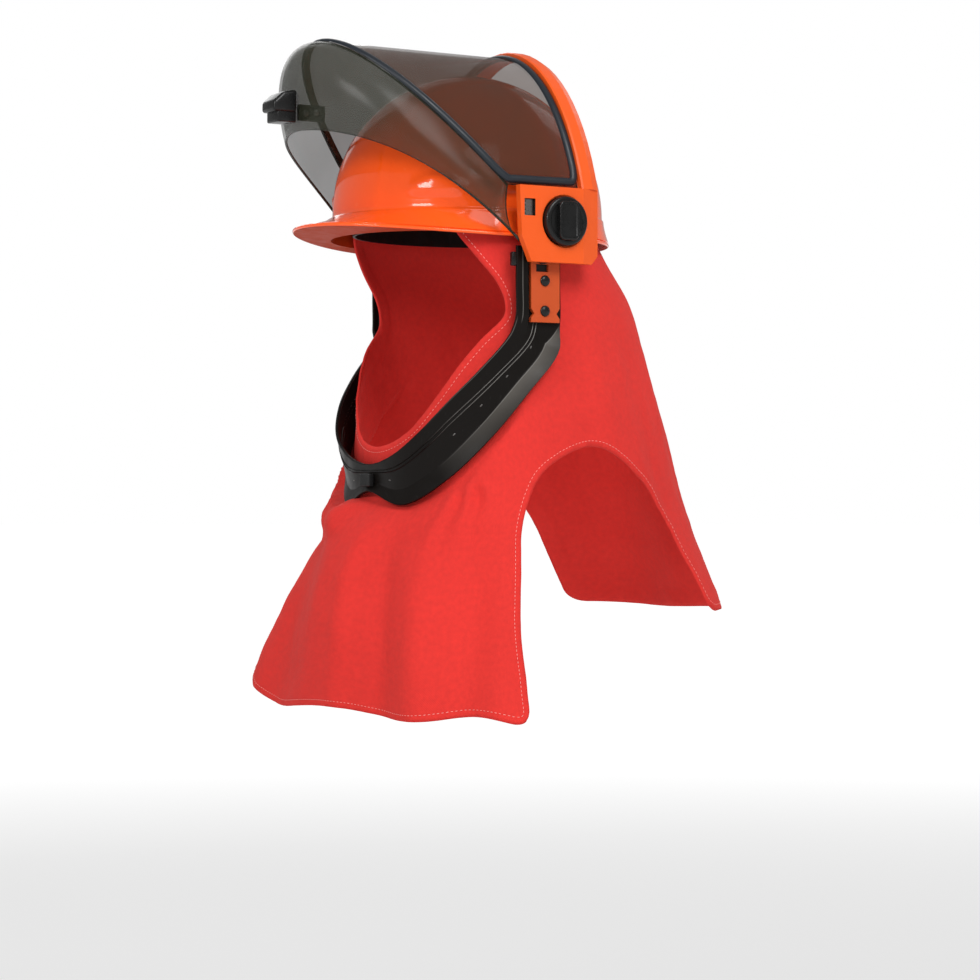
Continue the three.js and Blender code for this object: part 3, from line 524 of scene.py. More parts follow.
def twill_cloth(name, light, dark, ribs, depth):
    material, tree, shader = new_material(name)
    weave = place_group(tree, woven_twill, Light=(*light, 1), Dark=(*dark, 1), Ribs=ribs, Depth=depth)
    dress_shader(tree, shader, weave)
    shader.inputs["Specular IOR Level"].default_value = 0.25
    shader.inputs["Sheen Weight"].default_value = 0.08
    shader.inputs["Sheen Roughness"].default_value = 0.4
    shader.inputs["Sheen Tint"].default_value = (1.0, 0.3, 0.25, 1)
    return material


def bright_metal(name, colour, smooth, rough):
    scuffed = [0.7 * part for part in colour]
    material, _, shader, _ = moulded_material(
        name, colour, scuffed, gloss=0.5, grain=1500.0, bump=0.04, smooth=smooth, rough=rough
    )
    shader.inputs["Metallic"].default_value = 1.0
    return material


hat_orange = moulded_plastic(
    "hat orange", (0.98, 0.1, 0.01), (0.98, 0.2, 0.06),
    smooth=0.12, rough=0.22, bump=0.015, grain=260.0, coat=0.6, gloss=0.2,
)
# Underside and inside of the shell: duller, and painted darker than the hat's orange as painted shade
shaded_hat_inside = moulded_plastic(
    "hat inside", (0.42, 0.04, 0.006), (0.5, 0.09, 0.03),
    smooth=0.5, rough=0.65, bump=0.1, grain=500.0, gloss=0.1,
)
frame_orange = slotted_plastic(
    "frame orange", (0.78, 0.095, 0.01), (0.82, 0.17, 0.06), PLATE_SLOT, smooth=0.3, rough=0.42, gloss=0.3
)
# The bracket's orange is painted darker than the frame's, as painted shade under the plate
shaded_bracket_orange = slotted_plastic(
    "bracket orange", (0.5, 0.07, 0.014), (0.58, 0.13, 0.05), BRACKET_SLOT,
    smooth=0.4, rough=0.55, gloss=0.25,
)
# The flange's grey is painted light on the black plastic
guard_black = flanged_plastic(
    "guard black", (0.006, 0.0048, 0.004), (0.05, 0.05, 0.05), flange=(0.075, 0.068, 0.06)
)
knob_black = moulded_plastic(
    "knob black", (0.006, 0.006, 0.006), (0.03, 0.03, 0.03), smooth=0.22, rough=0.34
)
band_black = moulded_plastic(
    "band black", (0.008, 0.008, 0.008), (0.03, 0.03, 0.03), smooth=0.4, rough=0.55, bump=0.2, gloss=0.2
)
gasket_dark = moulded_plastic(
    "gasket dark", (0.014, 0.018, 0.024), (0.04, 0.045, 0.05), smooth=0.3, rough=0.42
)
stud_grey = moulded_plastic(
    "stud grey", (0.08, 0.075, 0.07), (0.16, 0.16, 0.16),
    smooth=0.25, rough=0.35, bump=0.02, coat=0.2, gloss=0.5,
)
spring_metal = bright_metal("spring metal", (0.24, 0.23, 0.22), smooth=0.22, rough=0.38)
window_tint = tinted_sheet(
    "window tint", (0.07, 0.036, 0.023), thin=0.56, dense=0.57, from_x=90, to_x=120, smooth=0.05, rough=0.1
)
cup_tint = tinted_sheet(
    "cup tint", (0.037, 0.039, 0.026), thin=0.49, dense=0.49, from_x=70, to_x=118, smooth=0.2, rough=0.24
)
sheet_edge = moulded_plastic(
    "sheet edge", (0.016, 0.019, 0.012), (0.05, 0.055, 0.045),
    smooth=0.2, rough=0.35, bump=0.03, grain=700.0, gloss=0.4,
)
red_twill = twill_cloth("red twill", (0.76, 0.036, 0.028), (0.6, 0.025, 0.02), ribs=5200.0, depth=0.3)
pink_thread = moulded_plastic(
    "pink thread", (0.85, 0.3, 0.27), (0.9, 0.5, 0.45),
    smooth=0.6, rough=0.8, bump=0.3, grain=2500.0, gloss=0.5,
)


# Making and finishing pieces
def bent_grid(place, around, along):
    """A grid whose vertices move to place(u, v), with u and v from 0 to 1. Edges that meet are joined."""
    bm = bmesh.new()
    bm.loops.layers.uv.new("cut")
    bmesh.ops.create_grid(bm, x_segments=around, y_segments=along, size=0.5, calc_uvs=True)
    for vert in bm.verts:
        vert.co = place(vert.co.x + 0.5, vert.co.y + 0.5) * MM
    bmesh.ops.remove_doubles(bm, verts=bm.verts, dist=JOIN)
    return bm


def outline_slab(outline, half_width, edge, segments):
    """A side-view outline of (y, z) points, drawn out to both sides, with rounded edges."""
    bm = bmesh.new()
    ring = [bm.verts.new(Vector((-half_width, y, z)) * MM) for y, z in outline]
    face = bm.faces.new(ring)
    grown = bmesh.ops.extrude_face_region(bm, geom=[face])
    moved = [part for part in grown["geom"] if isinstance(part, bmesh.types.BMVert)]
    bmesh.ops.translate(bm, verts=moved, vec=Vector((2 * half_width, 0, 0)) * MM)
    bmesh.ops.recalc_face_normals(bm, faces=bm.faces)
    round_edges(bm, bm.edges, edge, segments)
    return bm


def round_edges(bm, edges, size, segments):
    bmesh.ops.bevel(
        bm, geom=list(edges), offset=size * MM, offset_type="OFFSET", affect="EDGES",
        segments=segments, profile=0.5, material=-1, clamp_overlap=True,
    )


def add_piece(name, bm, material, slot, body, *nodes, crease=40):
    mesh = bpy.data.meshes.new(name)
    bm.to_mesh(mesh)
    bm.free()
    mesh.shade_smooth()
    mesh.set_sharp_from_angle(angle=math.radians(crease))
    mesh.materials.append(material)
    piece = bpy.data.objects.new(name, mesh)
    bpy.context.scene.collection.objects.link(piece)
    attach(piece, body)
    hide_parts(*nodes)
    return piece


def wall_modifier(piece, thickness):
    """Gives a sheet its thickness, inwards from its outer face."""
    wall = piece.modifiers.new("wall", "SOLIDIFY")
    wall.thickness = thickness * MM
    wall.offset = -1
    wall.use_even_offset = True
    return wall


def face_outwards(bm, place, surface):
    """Points the faces of a bent grid out, by the face in the middle of it."""
    bmesh.ops.recalc_face_normals(bm, faces=bm.faces)
    middle = min(bm.faces, key=lambda face: (face.calc_center_median() - place(0.5, 0.5) * MM).length)
    if middle.normal.dot(surface_normal(surface, 0.5, 0.5)) < 0:
        bmesh.ops.reverse_faces(bm, faces=bm.faces)


def put_on_side(bm, sign):
    """Mirrors a piece that was made for the left side where it goes on the right."""
    if sign < 0:
        bmesh.ops.scale(bm, verts=bm.verts, vec=(-1, 1, 1))
        bmesh.ops.reverse_faces(bm, faces=bm.faces)


def dress_node(node, material, edge):
    """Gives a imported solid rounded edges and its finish."""
    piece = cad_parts[node]
    piece.data.materials.clear()
    piece.data.materials.append(material)
    weld = piece.modifiers.new("weld", "WELD")
    weld.merge_threshold = 10 * JOIN
    flat = piece.modifiers.new("flat faces", "DECIMATE")
    flat.decimate_type = "DISSOLVE"
    flat.angle_limit = math.radians(1)
    bevel = piece.modifiers.new("rounded edges", "BEVEL")
    bevel.width = edge * MM
    bevel.segments = 3
    bevel.limit_method = "ANGLE"
    bevel.angle_limit = math.radians(28)
    bevel.harden_normals = True
    return piece


def catmull_rom(points, steps):
    """Points of a smooth line through the given ones, with that many steps between two of them."""
    given = np.array(points, float)
    ends = np.vstack((2 * given[0] - given[1], given, 2 * given[-1] - given[-2]))
    line = []
    for a, b, c, d in zip(ends, ends[1:], ends[2:], ends[3:]):
        for t in np.arange(steps) / steps:
            squared = (2 * a - 5 * b + 4 * c - d) * t**2
            cubed = (3 * b - a - 3 * c + d) * t**3
            line.append(0.5 * (2 * b + (c - a) * t + squared + cubed))
    line.append(given[-1])
    return np.array(line)


def line_point(line, t):
    """A point at part t of a line of points, counted by its steps."""
    at = min(max(t, 0.0), 1.0) * (len(line) - 1)
    low = min(int(at), len(line) - 2)
    return Vector(line[low]).lerp(Vector(line[low + 1]), at - low)


def surface_normal(place, u, v):
    nudge = 1e-3
    along = place(u + nudge, v) - place(u - nudge, v)
    across = place(u, v + nudge) - place(u, v - nudge)
    return across.cross(along).normalized()


def smoothstep(value, low, high):
    t = min(max((value - low) / (high - low), 0.0), 1.0)
    return t * t * (3 - 2 * t)


# Hard hat: v runs down the dome, over the flare and the rim, and back up inside
def hat_ring(turn, z, half_width, front, back, peak):
    power = 2 / HAT["power"]
    s, c = math.sin(turn), math.cos(turn)
    reach = -front if c > 0 else back
    to_front = max(0.0, c) ** HAT["peak_sharpness"] * peak
    return Vector((
        half_width * math.copysign(abs(s) ** power, s),
        reach * abs(c) ** power - HAT["peak_reach"] * to_front,
        z + HAT["peak_rise"] * to_front,
    ))


def hat_dome(turn, lift, inset):
    sizes = [(HAT[size] - inset) * math.cos(lift) for size in ("half_width", "front", "back")]
    return hat_ring(turn, HAT["base_z"] + (HAT["dome"] - inset) * math.sin(lift), *sizes, 0)


def hat_relief(point):
    """How far the raised middle panel and the side bosses stand out of the shell."""
    panel = smoothstep(abs(point.x), HAT_PANEL["half_width"] + HAT_PANEL["edge"], HAT_PANEL["half_width"])
    turn = math.degrees(math.atan2(abs(point.x), -point.y))
    boss_turn = (turn - HAT_BOSS["turn"]) / HAT_BOSS["half_turn"]
    boss_height = (point.z - HAT_BOSS["z"] + HAT_BOSS["sag"] * boss_turn**2) / HAT_BOSS["half_height"]
    boss = 1 - smoothstep(math.hypot(boss_turn, boss_height), HAT_BOSS["flat"], 1.0)
    return HAT_PANEL["rise"] * panel + HAT_BOSS["rise"] * boss


def hat_sizes(start, end, t, inset_start=0, inset_end=0):
    """Half width, front and back at part t of the way between two of the hat's rings."""
    sizes = []
    for size in ("half_width", "front", "back"):
        first = HAT[start + size] - inset_start
        sizes.append(first + (HAT[end + size] - inset_end - first) * t)
    return sizes


def hat_flare(turn, t):
    point = hat_ring(
        turn, HAT["base_z"] + (HAT["rim_edge"] / 2 - HAT["base_z"]) * t,
        *hat_sizes("", "rim_", t ** HAT_STEP["spread"]), t ** HAT_STEP["peak"],
    )
    step = HAT_STEP["rise"] * smoothstep(t, HAT_STEP["from"], HAT_STEP["to"]) * (1 - t)
    outward = Vector((point.x, point.y, HAT_STEP["upward"])).normalized()
    return point + outward * (step + hat_relief(point) * (1 - t))


def hat_place(u, v):
    turn = (u - 0.5) * 2 * math.pi
    flare, rim, under, inside = (HAT_WAY[part] for part in ("flare", "rim", "under", "inside"))
    half = HAT["rim_edge"] / 2
    if v <= flare:
        point = hat_dome(turn, (flare - v) * math.pi, 0)
        outward = Vector((point.x, point.y, point.z - HAT["base_z"])).normalized()
        return point + outward * hat_relief(point)
    if v <= rim:
        return hat_flare(turn, (v - flare) / (rim - flare))
    if v <= under:
        roll = (v - rim) / (under - rim) * math.pi
        tuck = half - half * math.sin(roll)
        return hat_ring(turn, half * math.cos(roll), *hat_sizes("rim_", "rim_", 0, tuck, tuck), 1)
    if v <= inside:
        t = (v - under) / (inside - under)
        sizes = hat_sizes("rim_", "", t, half, HAT["wall"] - 1)
        return hat_ring(turn, -half + (half + HAT["rim_edge"]) * t, *sizes, 1 - t)
    return hat_dome(turn, (v - inside) / (1 - inside) * math.pi / 2, HAT["wall"])


hat = bent_grid(hat_place, HAT_STEPS["around"], HAT_STEPS["along"])
bmesh.ops.recalc_face_normals(hat, faces=hat.faces)
hat_cut = hat.loops.layers.uv["cut"]
# Faces under the rim and inside take the duller material with painted shade
for face in hat.faces:
    face.material_index = int(min(loop[hat_cut].uv.y for loop in face.loops) > HAT_WAY["dull_and_shaded"])
hat_piece = add_piece("hat", hat, hat_orange, "hat_orange", "hood", "hat_shell", crease=60)
hat_piece.data.materials.append(shaded_hat_inside)


# Visor: across runs from -1 at the right side, over the crown, to 1 at the left side
SIDE_ANGLE = math.asin(VISOR_SIDE_SINE)


def visor_point(line, across):
    angle = math.pi / 2 - abs(across) * (math.pi / 2 - SIDE_ANGLE)
    to_apex = (math.sin(angle) - VISOR_SIDE_SINE) / (1 - VISOR_SIDE_SINE)
    return Vector((
        math.copysign(line.half_width * math.cos(angle) / math.cos(SIDE_ANGLE), across),
        line.side_y + (line.apex_y - line.side_y) * to_apex,
        line.side_z + (line.apex_z - line.side_z) * to_apex + line.bow * 4 * to_apex * (1 - to_apex),
    ))


def window_place(u, v):
    across = 2 * u - 1
    return visor_point(ARCH_LINE, across).lerp(visor_point(RIDGE_LINE, across), v)


def cup_place(u, v):
    across = 2 * u - 1
    ridge = visor_point(RIDGE_LINE, across)
    crease = visor_point(CREASE_LINE, across)
    free = visor_point(FREE_LINE, across)
    pull = crease * 2 - (ridge + free) * 0.5
    t = CUP["start"] + (1 - CUP["start"]) * v
    return ridge * (1 - t) ** 2 + pull * (2 * t * (1 - t)) + free * t**2


def visor_sheet(name, place, wall, material, slot, node):
    """A tinted sheet whose cut edges are dark."""
    bm = bent_grid(place, VISOR_STEPS["around"], VISOR_STEPS[name])
    face_outwards(bm, place, place)
    piece = add_piece(name, bm, material, slot, "visor", node)
    piece.data.materials.append(sheet_edge)
    wall_modifier(piece, wall).material_offset_rim = 1


visor_sheet("window", window_place, WINDOW_WALL, window_tint, "window_tint", "visor_window")
visor_sheet("cup", cup_place, CUP["wall"], cup_tint, "cup_tint", "chin_cup")


# Gasket: a half-round strip that follows the window's border, with round corners
def gasket_border():
    """The middle of the strip on the window as rows of u and v, once round, a corner after each side."""
    corner_u, corner_v = GASKET["corner_u"], GASKET["corner_v"]
    low_u, low_v = GASKET["margin_u"], GASKET["margin_v"]
    high_u, high_v = 1 - low_u, 1 - low_v
    quarter = np.linspace(0, math.pi / 2, GASKET["corner_points"])
    rows = []
    for u, v, first in ((high_u, high_v, 0), (low_u, high_v, 1), (low_u, low_v, 2), (high_u, low_v, 3)):
        middle_u = u + math.copysign(corner_u, 0.5 - u)
        middle_v = v + math.copysign(corner_v, 0.5 - v)
        for turn in quarter + first * math.pi / 2:
            rows.append((middle_u + corner_u * math.cos(turn), middle_v + corner_v * math.sin(turn)))
    rows.append(rows[0])
    return np.array(rows)


def even_border(rows, count):
    """The border's u and v at even steps of its length."""
    part = np.linspace(0, len(rows) - 1, GASKET["measured_points"])
    fine = np.stack([np.interp(part, np.arange(len(rows)), rows[:, axis]) for axis in (0, 1)], axis=1)
    points = np.array([window_place(u, v) for u, v in fine])
    run = np.concatenate(([0], np.cumsum(np.linalg.norm(np.diff(points, axis=0), axis=1))))
    even = np.linspace(0, run[-1], count + 1)
    return np.stack([np.interp(even, run, fine[:, axis]) for axis in (0, 1)], axis=1)


gasket_line = even_border(gasket_border(), GASKET["steps"])


def gasket_place(u, v):
    step = round(u * GASKET["steps"]) % GASKET["steps"]
    on = window_place(*gasket_line[step])
    ahead = window_place(*gasket_line[(step + 1) % GASKET["steps"]])
    behind = window_place(*gasket_line[step - 1])
    normal = surface_normal(window_place, *gasket_line[step])
    sideways = normal.cross(ahead - behind).normalized()
    angle = v * 2 * math.pi
    rise = GASKET["lift"] + GASKET["height"] * max(math.sin(angle), 0) ** GASKET["fullness"]
    return on + sideways * (GASKET["half_width"] * math.cos(angle)) + normal * rise


gasket = bent_grid(gasket_place, GASKET["steps"], GASKET["round"])
bmesh.ops.recalc_face_normals(gasket, faces=gasket.faces)
add_piece("gasket", gasket, gasket_dark, "gasket_rubber", "visor", "window_gasket", crease=70)


# Visor frame, slot springs and the hinge's fixed pieces keep their solids
dress_node("visor_frame", frame_orange, 0.9)
for side, sign in SIDES:
    dress_node(f"bracket_{side}", shaded_bracket_orange, 0.6)
    dress_node(f"slot_spring_{side}", spring_metal, 0.15)
    dress_node(f"pivot_pin_{side}", knob_black, 0.3)
dress_node("headband", band_black, 0.5)
dress_node("tab_tongue", knob_black, 0.6)
dress_node("tab_screw_1", stud_grey, 0.2)
dress_node("tab_screw_2", stud_grey, 0.2)
dress_node("guard_catch", band_black, 0.8)


# Lift tab: a rounded block over a narrower foot
def lift_tab():
    bm = outline_slab(*TAB_BLOCK)
    foot = outline_slab(*TAB_FOOT)
    foot_mesh = bpy.data.meshes.new("tab foot")
    foot.to_mesh(foot_mesh)
    foot.free()
    bm.from_mesh(foot_mesh)
    bpy.data.meshes.remove(foot_mesh)
    add_piece("lift_tab_block", bm, knob_black, "black_plastic", "visor", "lift_tab")


lift_tab()


# Side knobs: a round body with a rolled rim, and a grip bar across its dished face
def top_face(bm):
    """The largest of the faces that lie furthest out."""
    return max(bm.faces, key=lambda face: (round(face.calc_center_median().x, 6), face.calc_area()))


def dish_top(bm, shape):
    """Leaves a rim round the top face and sinks the rest."""
    face = top_face(bm)
    bmesh.ops.inset_region(bm, faces=[face], thickness=shape["rim"] * MM, depth=0)
    bmesh.ops.inset_region(bm, faces=[face], thickness=shape["dish_slope"] * MM, depth=-shape["dish"] * MM)


def side_knob(side, sign):
    bm = bmesh.new()
    middle = Vector(((KNOB["foot"] + KNOB["face"]) / 2, 0, 0)) * MM
    radius = KNOB["radius"] * MM
    depth = (KNOB["face"] - KNOB["foot"]) * MM
    bmesh.ops.create_cone(
        bm, cap_ends=True, segments=KNOB["sides"], radius1=radius, radius2=radius, depth=depth,
        matrix=Matrix.Translation(middle) @ Matrix.Rotation(math.pi / 2, 4, "Y"),
    )
    round_edges(bm, top_face(bm).edges, KNOB["edge"], KNOB["edge_steps"])
    dish_top(bm, KNOB)
    before = set(bm.verts)
    height = KNOB_BAR["face"] - KNOB["face"] + KNOB_BAR["sunk"]
    bar = Vector((height, KNOB_BAR["width"], KNOB_BAR["length"])) * MM
    middle = Vector((KNOB_BAR["face"] - height / 2, 0, 0)) * MM
    bmesh.ops.create_cube(bm, size=1, matrix=Matrix.Translation(middle) @ Matrix.Diagonal((*bar, 1)))
    added = [vert for vert in bm.verts if vert not in before]
    upright = [
        edge for edge in bm.edges
        if edge.verts[0] in added and abs(edge.verts[0].co.x - edge.verts[1].co.x) > 0.1 * MM
    ]
    round_edges(bm, upright, KNOB_BAR["corner"], KNOB_BAR["corner_steps"])
    round_edges(bm, top_face(bm).edges, KNOB_BAR["edge"], KNOB_BAR["edge_steps"])
    dish_top(bm, KNOB_BAR)
    bmesh.ops.translate(bm, verts=bm.verts, vec=Vector((0, KNOB["y"], KNOB["z"])) * MM)
    put_on_side(bm, sign)
    add_piece(
        f"side_knob_{side}", bm, knob_black, "black_plastic", f"{side}_knob", f"knob_{side}", crease=35
    )


# Bracket rivets: domes cut flat at the bracket
def bracket_rivet(side, sign, level, z):
    bm = bmesh.new()
    size = Vector((RIVET["height"], RIVET["radius"], RIVET["radius"])) * MM
    at = Vector((RIVET["foot"], RIVET["y"], z)) * MM
    bmesh.ops.create_uvsphere(
        bm, u_segments=32, v_segments=16, radius=1,
        matrix=Matrix.Translation(at) @ Matrix.Diagonal((*size, 1)) @ Matrix.Rotation(math.pi / 2, 4, "Y"),
    )
    cut = bmesh.ops.bisect_plane(
        bm, geom=bm.verts[:] + bm.edges[:] + bm.faces[:], plane_co=at, plane_no=(1, 0, 0), clear_inner=True,
    )
    rim = [part for part in cut["geom_cut"] if isinstance(part, bmesh.types.BMEdge)]
    bmesh.ops.holes_fill(bm, edges=rim, sides=0)
    bmesh.ops.recalc_face_normals(bm, faces=bm.faces)
    put_on_side(bm, sign)
    name = f"rivet_{side}_{level}"
    add_piece(f"{name}_dome", bm, knob_black, "black_plastic", "hood", name)


for side, sign in SIDES:
    side_knob(side, sign)
    for level, z in RIVET["levels"]:
        bracket_rivet(side, sign, level, z)


# Chin guard: u runs from the right arm's top round the chin to the left arm's top
def guard_line(edge):
    half = [[getattr(row, f"{edge}_{axis}") for axis in "xyz"] for row in GUARD_ROWS]
    right = [(-x, y, z) for x, y, z in half]
    return catmull_rom(right + half[-2::-1], 12)


guard_top = guard_line("top")
guard_low = guard_line("low")


def guard_strip(u, v):
    return line_point(guard_top, u).lerp(line_point(guard_low, u), v)


def guard_lift(u, v):
    on_arm = 1 - smoothstep(min(u, 1 - u), GUARD["rail_fade"], GUARD["rail_end"])
    low, high = (GUARD["rail_width"] + way * GUARD["rail_edge"] for way in (-1, 1))
    rail = GUARD["rail"] * on_arm * (1 - smoothstep(v, low, high))
    relief = GUARD["edge_drop"] * (smoothstep(v, 0, GUARD["edge_width"]) - 1)
    for rows, (veer_from, veer_to, veer) in ((BEAD_RELIEF, BEAD_VEER), (FLANGE_RELIEF, FLANGE_VEER)):
        at = v - float(np.interp(abs(u - 0.5), (veer_from, veer_to), (0, veer)))
        relief += float(np.interp(at, [row.across for row in rows], [row.lift for row in rows]))
    return rail + relief * (1 - on_arm)


def guard_place(u, v):
    return guard_strip(u, v) + surface_normal(guard_strip, u, v) * guard_lift(u, v)


guard = bent_grid(guard_place, GUARD_STEPS["around"], GUARD_STEPS["across"])
face_outwards(guard, guard_place, guard_strip)
guard_piece = add_piece("guard", guard, guard_black, "black_plastic", "hood", "chin_guard", crease=50)
wall_modifier(guard_piece, GUARD["wall"])


def guard_studs():
    bm = bmesh.new()
    size = Vector(GUARD_STUDS["size"]) * MM
    across = GUARD_STUDS["across"]
    nudge = 0.01
    for along in GUARD_STUDS["along"]:
        for u in (along, 1 - along):
            normal = surface_normal(guard_strip, u, across)
            run = (guard_strip(u + nudge, across) - guard_strip(u - nudge, across)).normalized()
            turn = Matrix((run, normal.cross(run), normal)).transposed().to_4x4()
            at = Matrix.Translation(guard_place(u, across) * MM)
            bmesh.ops.create_uvsphere(
                bm, u_segments=16, v_segments=8, radius=0.5, matrix=at @ turn @ Matrix.Diagonal((*size, 1)),
            )
    add_piece("guard_studs", bm, stud_grey, "black_plastic", "hood")


guard_studs()


def guard_lugs():
    bm = bmesh.new()
    low, high = (Vector(corner) * MM for corner in zip(*GUARD_LUG))
    for _, sign in SIDES:
        middle = (low + high) / 2
        middle.x *= sign
        at = Matrix.Translation(middle) @ Matrix.Diagonal((*(high - low), 1))
        bmesh.ops.create_cube(bm, size=1, matrix=at)
    round_edges(bm, bm.edges, GUARD_LUG_EDGE, 3)
    add_piece("guard_lugs", bm, knob_black, "black_plastic", "hood")


guard_lugs()


# Hood cloth, in arrays: turn in degrees from the front, z in millimetres
def hood_size(column, z):
    """A column of the hood's levels at each z, on a smooth line through its rows."""
    levels = np.array([row.z for row in HOOD_ROWS], float)
    values = np.array([getattr(row, column) for row in HOOD_ROWS], float)
    slopes = np.gradient(values, levels)
    low = np.clip(np.searchsorted(levels, z) - 1, 0, len(levels) - 2)
    span = levels[low + 1] - levels[low]
    t = (z - levels[low]) / span
    return (
        values[low] * (1 + 2 * t) * (1 - t) ** 2 + slopes[low] * span * t * (1 - t) ** 2
        + values[low + 1] * t**2 * (3 - 2 * t) + slopes[low + 1] * span * t**2 * (t - 1)
    )


def wrapped(turn):
    """The same turn between -180 and 180 degrees."""
    return (turn + 180) % 360 - 180


def layer_values(verts, layer):
    return np.array([vert[layer] for vert in verts])


def eased(value, low, high):
    t = np.clip((value - low) / (high - low), 0, 1)
    return t * t * (3 - 2 * t)


def fold_depth(turn, z):
    depth = np.zeros_like(turn)
    for fold in MAIN_FOLDS + FINE_FOLDS + GATHERS:
        middle = fold.turn + fold.lean * (fold.from_z - z) / 100
        apart = wrapped(turn - middle)
        grown = eased(z, fold.from_z, fold.full_z) * eased(z, fold.gone_z, fold.full_z)
        depth += fold.depth * grown * np.exp(-((apart / fold.spread) ** 2))
    return depth


def puff_depth(turn, z):
    """How far the cloth swells out under the chin guard's edge."""
    turns, *columns = np.array(GUARD_FEET, float).T
    foot_z, left, right = (np.interp(np.abs(wrapped(turn)), turns, column) for column in columns)
    under = foot_z - PUFF["start"] - z
    swell = eased(under, 0, PUFF["swell"]) * eased(z, PUFF["gone_z"], PUFF["full_z"])
    return np.where(np.sin(np.radians(turn)) > 0, left, right) * swell


def hood_surface(turn, z):
    """Points of the cloth as an array with a row for each turn and z."""
    angle = np.radians(turn)
    out = fold_depth(turn, z) + puff_depth(turn, z)
    centre = hood_size("centre_y", z)
    s, c = np.sin(angle), np.cos(angle)
    power = 2 / HOOD_POWER
    front = -(centre - hood_size("front", z) + out)
    back = hood_size("back", z) - centre + out
    x = (hood_size("half_width", z) + out) * np.sign(s) * np.abs(s) ** power
    y = centre + np.where(c > 0, front, back) * np.abs(c) ** power
    return np.stack((x, y, z), axis=1)


def hood_drape(turn, z):
    """Points of the cloth as it hangs: with its hems' wave, the side that rides up, and small creases."""
    turn = wrapped(turn)
    points = hood_surface(turn, z)
    low = eased(z, HEM_WAVE["from_z"], HEM["front_z"])
    wave = HEM_WAVE["height"] * np.sin(np.radians(HEM_WAVE["waves"] * turn + HEM_WAVE["shift"]))
    side = eased(turn, RIDE_UP["from_turn"], RIDE_UP["to_turn"]) * (np.abs(turn) < RIDE_UP["last_turn"])
    points[:, 2] += wave * low + RIDE_UP["height"] * side * eased(z, RIDE_UP["from_z"], RIDE_UP["to_z"])
    outward = points - np.stack((np.zeros_like(turn), hood_size("centre_y", z), z), axis=1)
    outward[:, 2] = 0
    outward /= np.linalg.norm(outward, axis=1)[:, None]
    fractal = CLOTH_CREASES["fractal"]
    creases = [noise.fractal(Vector(point) / CLOTH_CREASES["size"], *fractal) for point in points]
    hang = eased(z, CLOTH_CREASES["from_z"], CLOTH_CREASES["full_z"])
    return points + outward * (CLOTH_CREASES["depth"] * np.array(creases) * hang)[:, None]


def polygon_depth(points, polygon):
    """How far inside a closed polygon each point lies, and less than 0 outside it."""
    best = np.full(len(points), 1e9)
    inside = np.zeros(len(points), bool)
    for a, b in zip(polygon, np.roll(polygon, -1, axis=0)):
        run = b - a
        t = np.clip(((points - a) @ run) / max(run @ run, 1e-9), 0, 1)
        best = np.minimum(best, np.linalg.norm(points - a - t[:, None] * run, axis=1))
        crosses = (a[1] > points[:, 1]) != (b[1] > points[:, 1])
        rise = run[1] if abs(run[1]) > 1e-9 else 1e-9
        inside ^= crosses & (points[:, 0] < a[0] + (points[:, 1] - a[1]) / rise * run[0])
    return np.where(inside, best, -best)


def hood_openings():
    """The face opening on the cloth laid flat, and the shoulder arches and hems in the side view."""
    y, over, under = HOOD_REACH["y"], HOOD_REACH["over"], HOOD_REACH["under"]
    left = np.array(FACE_EDGE) * (DEGREE_WIDTH, 1)
    edge = catmull_rom(np.vstack((left, left[-2::-1] * (-1, 1))), 8)
    face = np.vstack(([edge[0][0], over], edge, [edge[-1][0], over]))
    arch = catmull_rom(SHOULDER_EDGE, 8)
    arch = np.vstack((arch, [arch[-1][0], under], [arch[0][0], under]))
    hem = np.array((
        (-y, HEM["front_z"]), (HEM["split_y"], HEM["front_z"]), (HEM["split_y"], HEM["back_z"]),
        (y, HEM["back_z"]), (y, under), (-y, under),
    ), float)
    return face, arch, hem


openings = hood_openings()


def cut_depth(turn, z):
    """How far each point lies inside an opening, and less than 0 on the cloth."""
    seen = hood_surface(turn, z)[:, 1:]
    flat = np.stack((wrapped(turn) * DEGREE_WIDTH, z), axis=1)
    face = polygon_depth(flat, openings[0])
    arch, hem = (polygon_depth(seen, opening) for opening in openings[1:])
    rounding = np.maximum(HEM["corner"] - np.abs(arch - hem), 0) ** 2 / (4 * HEM["corner"])
    return np.maximum(face, np.maximum(arch, hem) + rounding)


def surface_slope(turn, z):
    """Change of cut_depth in a millimetre sideways and up the cloth, and the millimetres in a degree."""
    nudge = 0.25
    moved = hood_surface(turn + nudge, z) - hood_surface(turn - nudge, z)
    step = np.maximum(np.linalg.norm(moved, axis=1) / (2 * nudge), 0.2)
    sideways = (cut_depth(turn + nudge, z) - cut_depth(turn - nudge, z)) / (2 * nudge * step)
    upwards = (cut_depth(turn, z + nudge) - cut_depth(turn, z - nudge)) / (2 * nudge)
    return sideways, upwards, step


def moved_from_edge(turn, z, inset):
    """Moves points that lie on an edge inwards over the cloth by that many millimetres."""
    rounds = EDGE_FIT["inset_rounds"]
    for _ in range(rounds):
        sideways, upwards, step = surface_slope(turn, z)
        length = np.maximum(np.hypot(sideways, upwards), EDGE_FIT["least_length"])
        turn = turn - sideways / length * inset / rounds / step
        z = z - upwards / length * inset / rounds
    return turn, z


def on_open_edge(vert, level_layer):
    """Whether a vertex is on an edge of the cloth that shows below the hat."""
    return vert.is_boundary and vert[level_layer] < BELOW_HAT


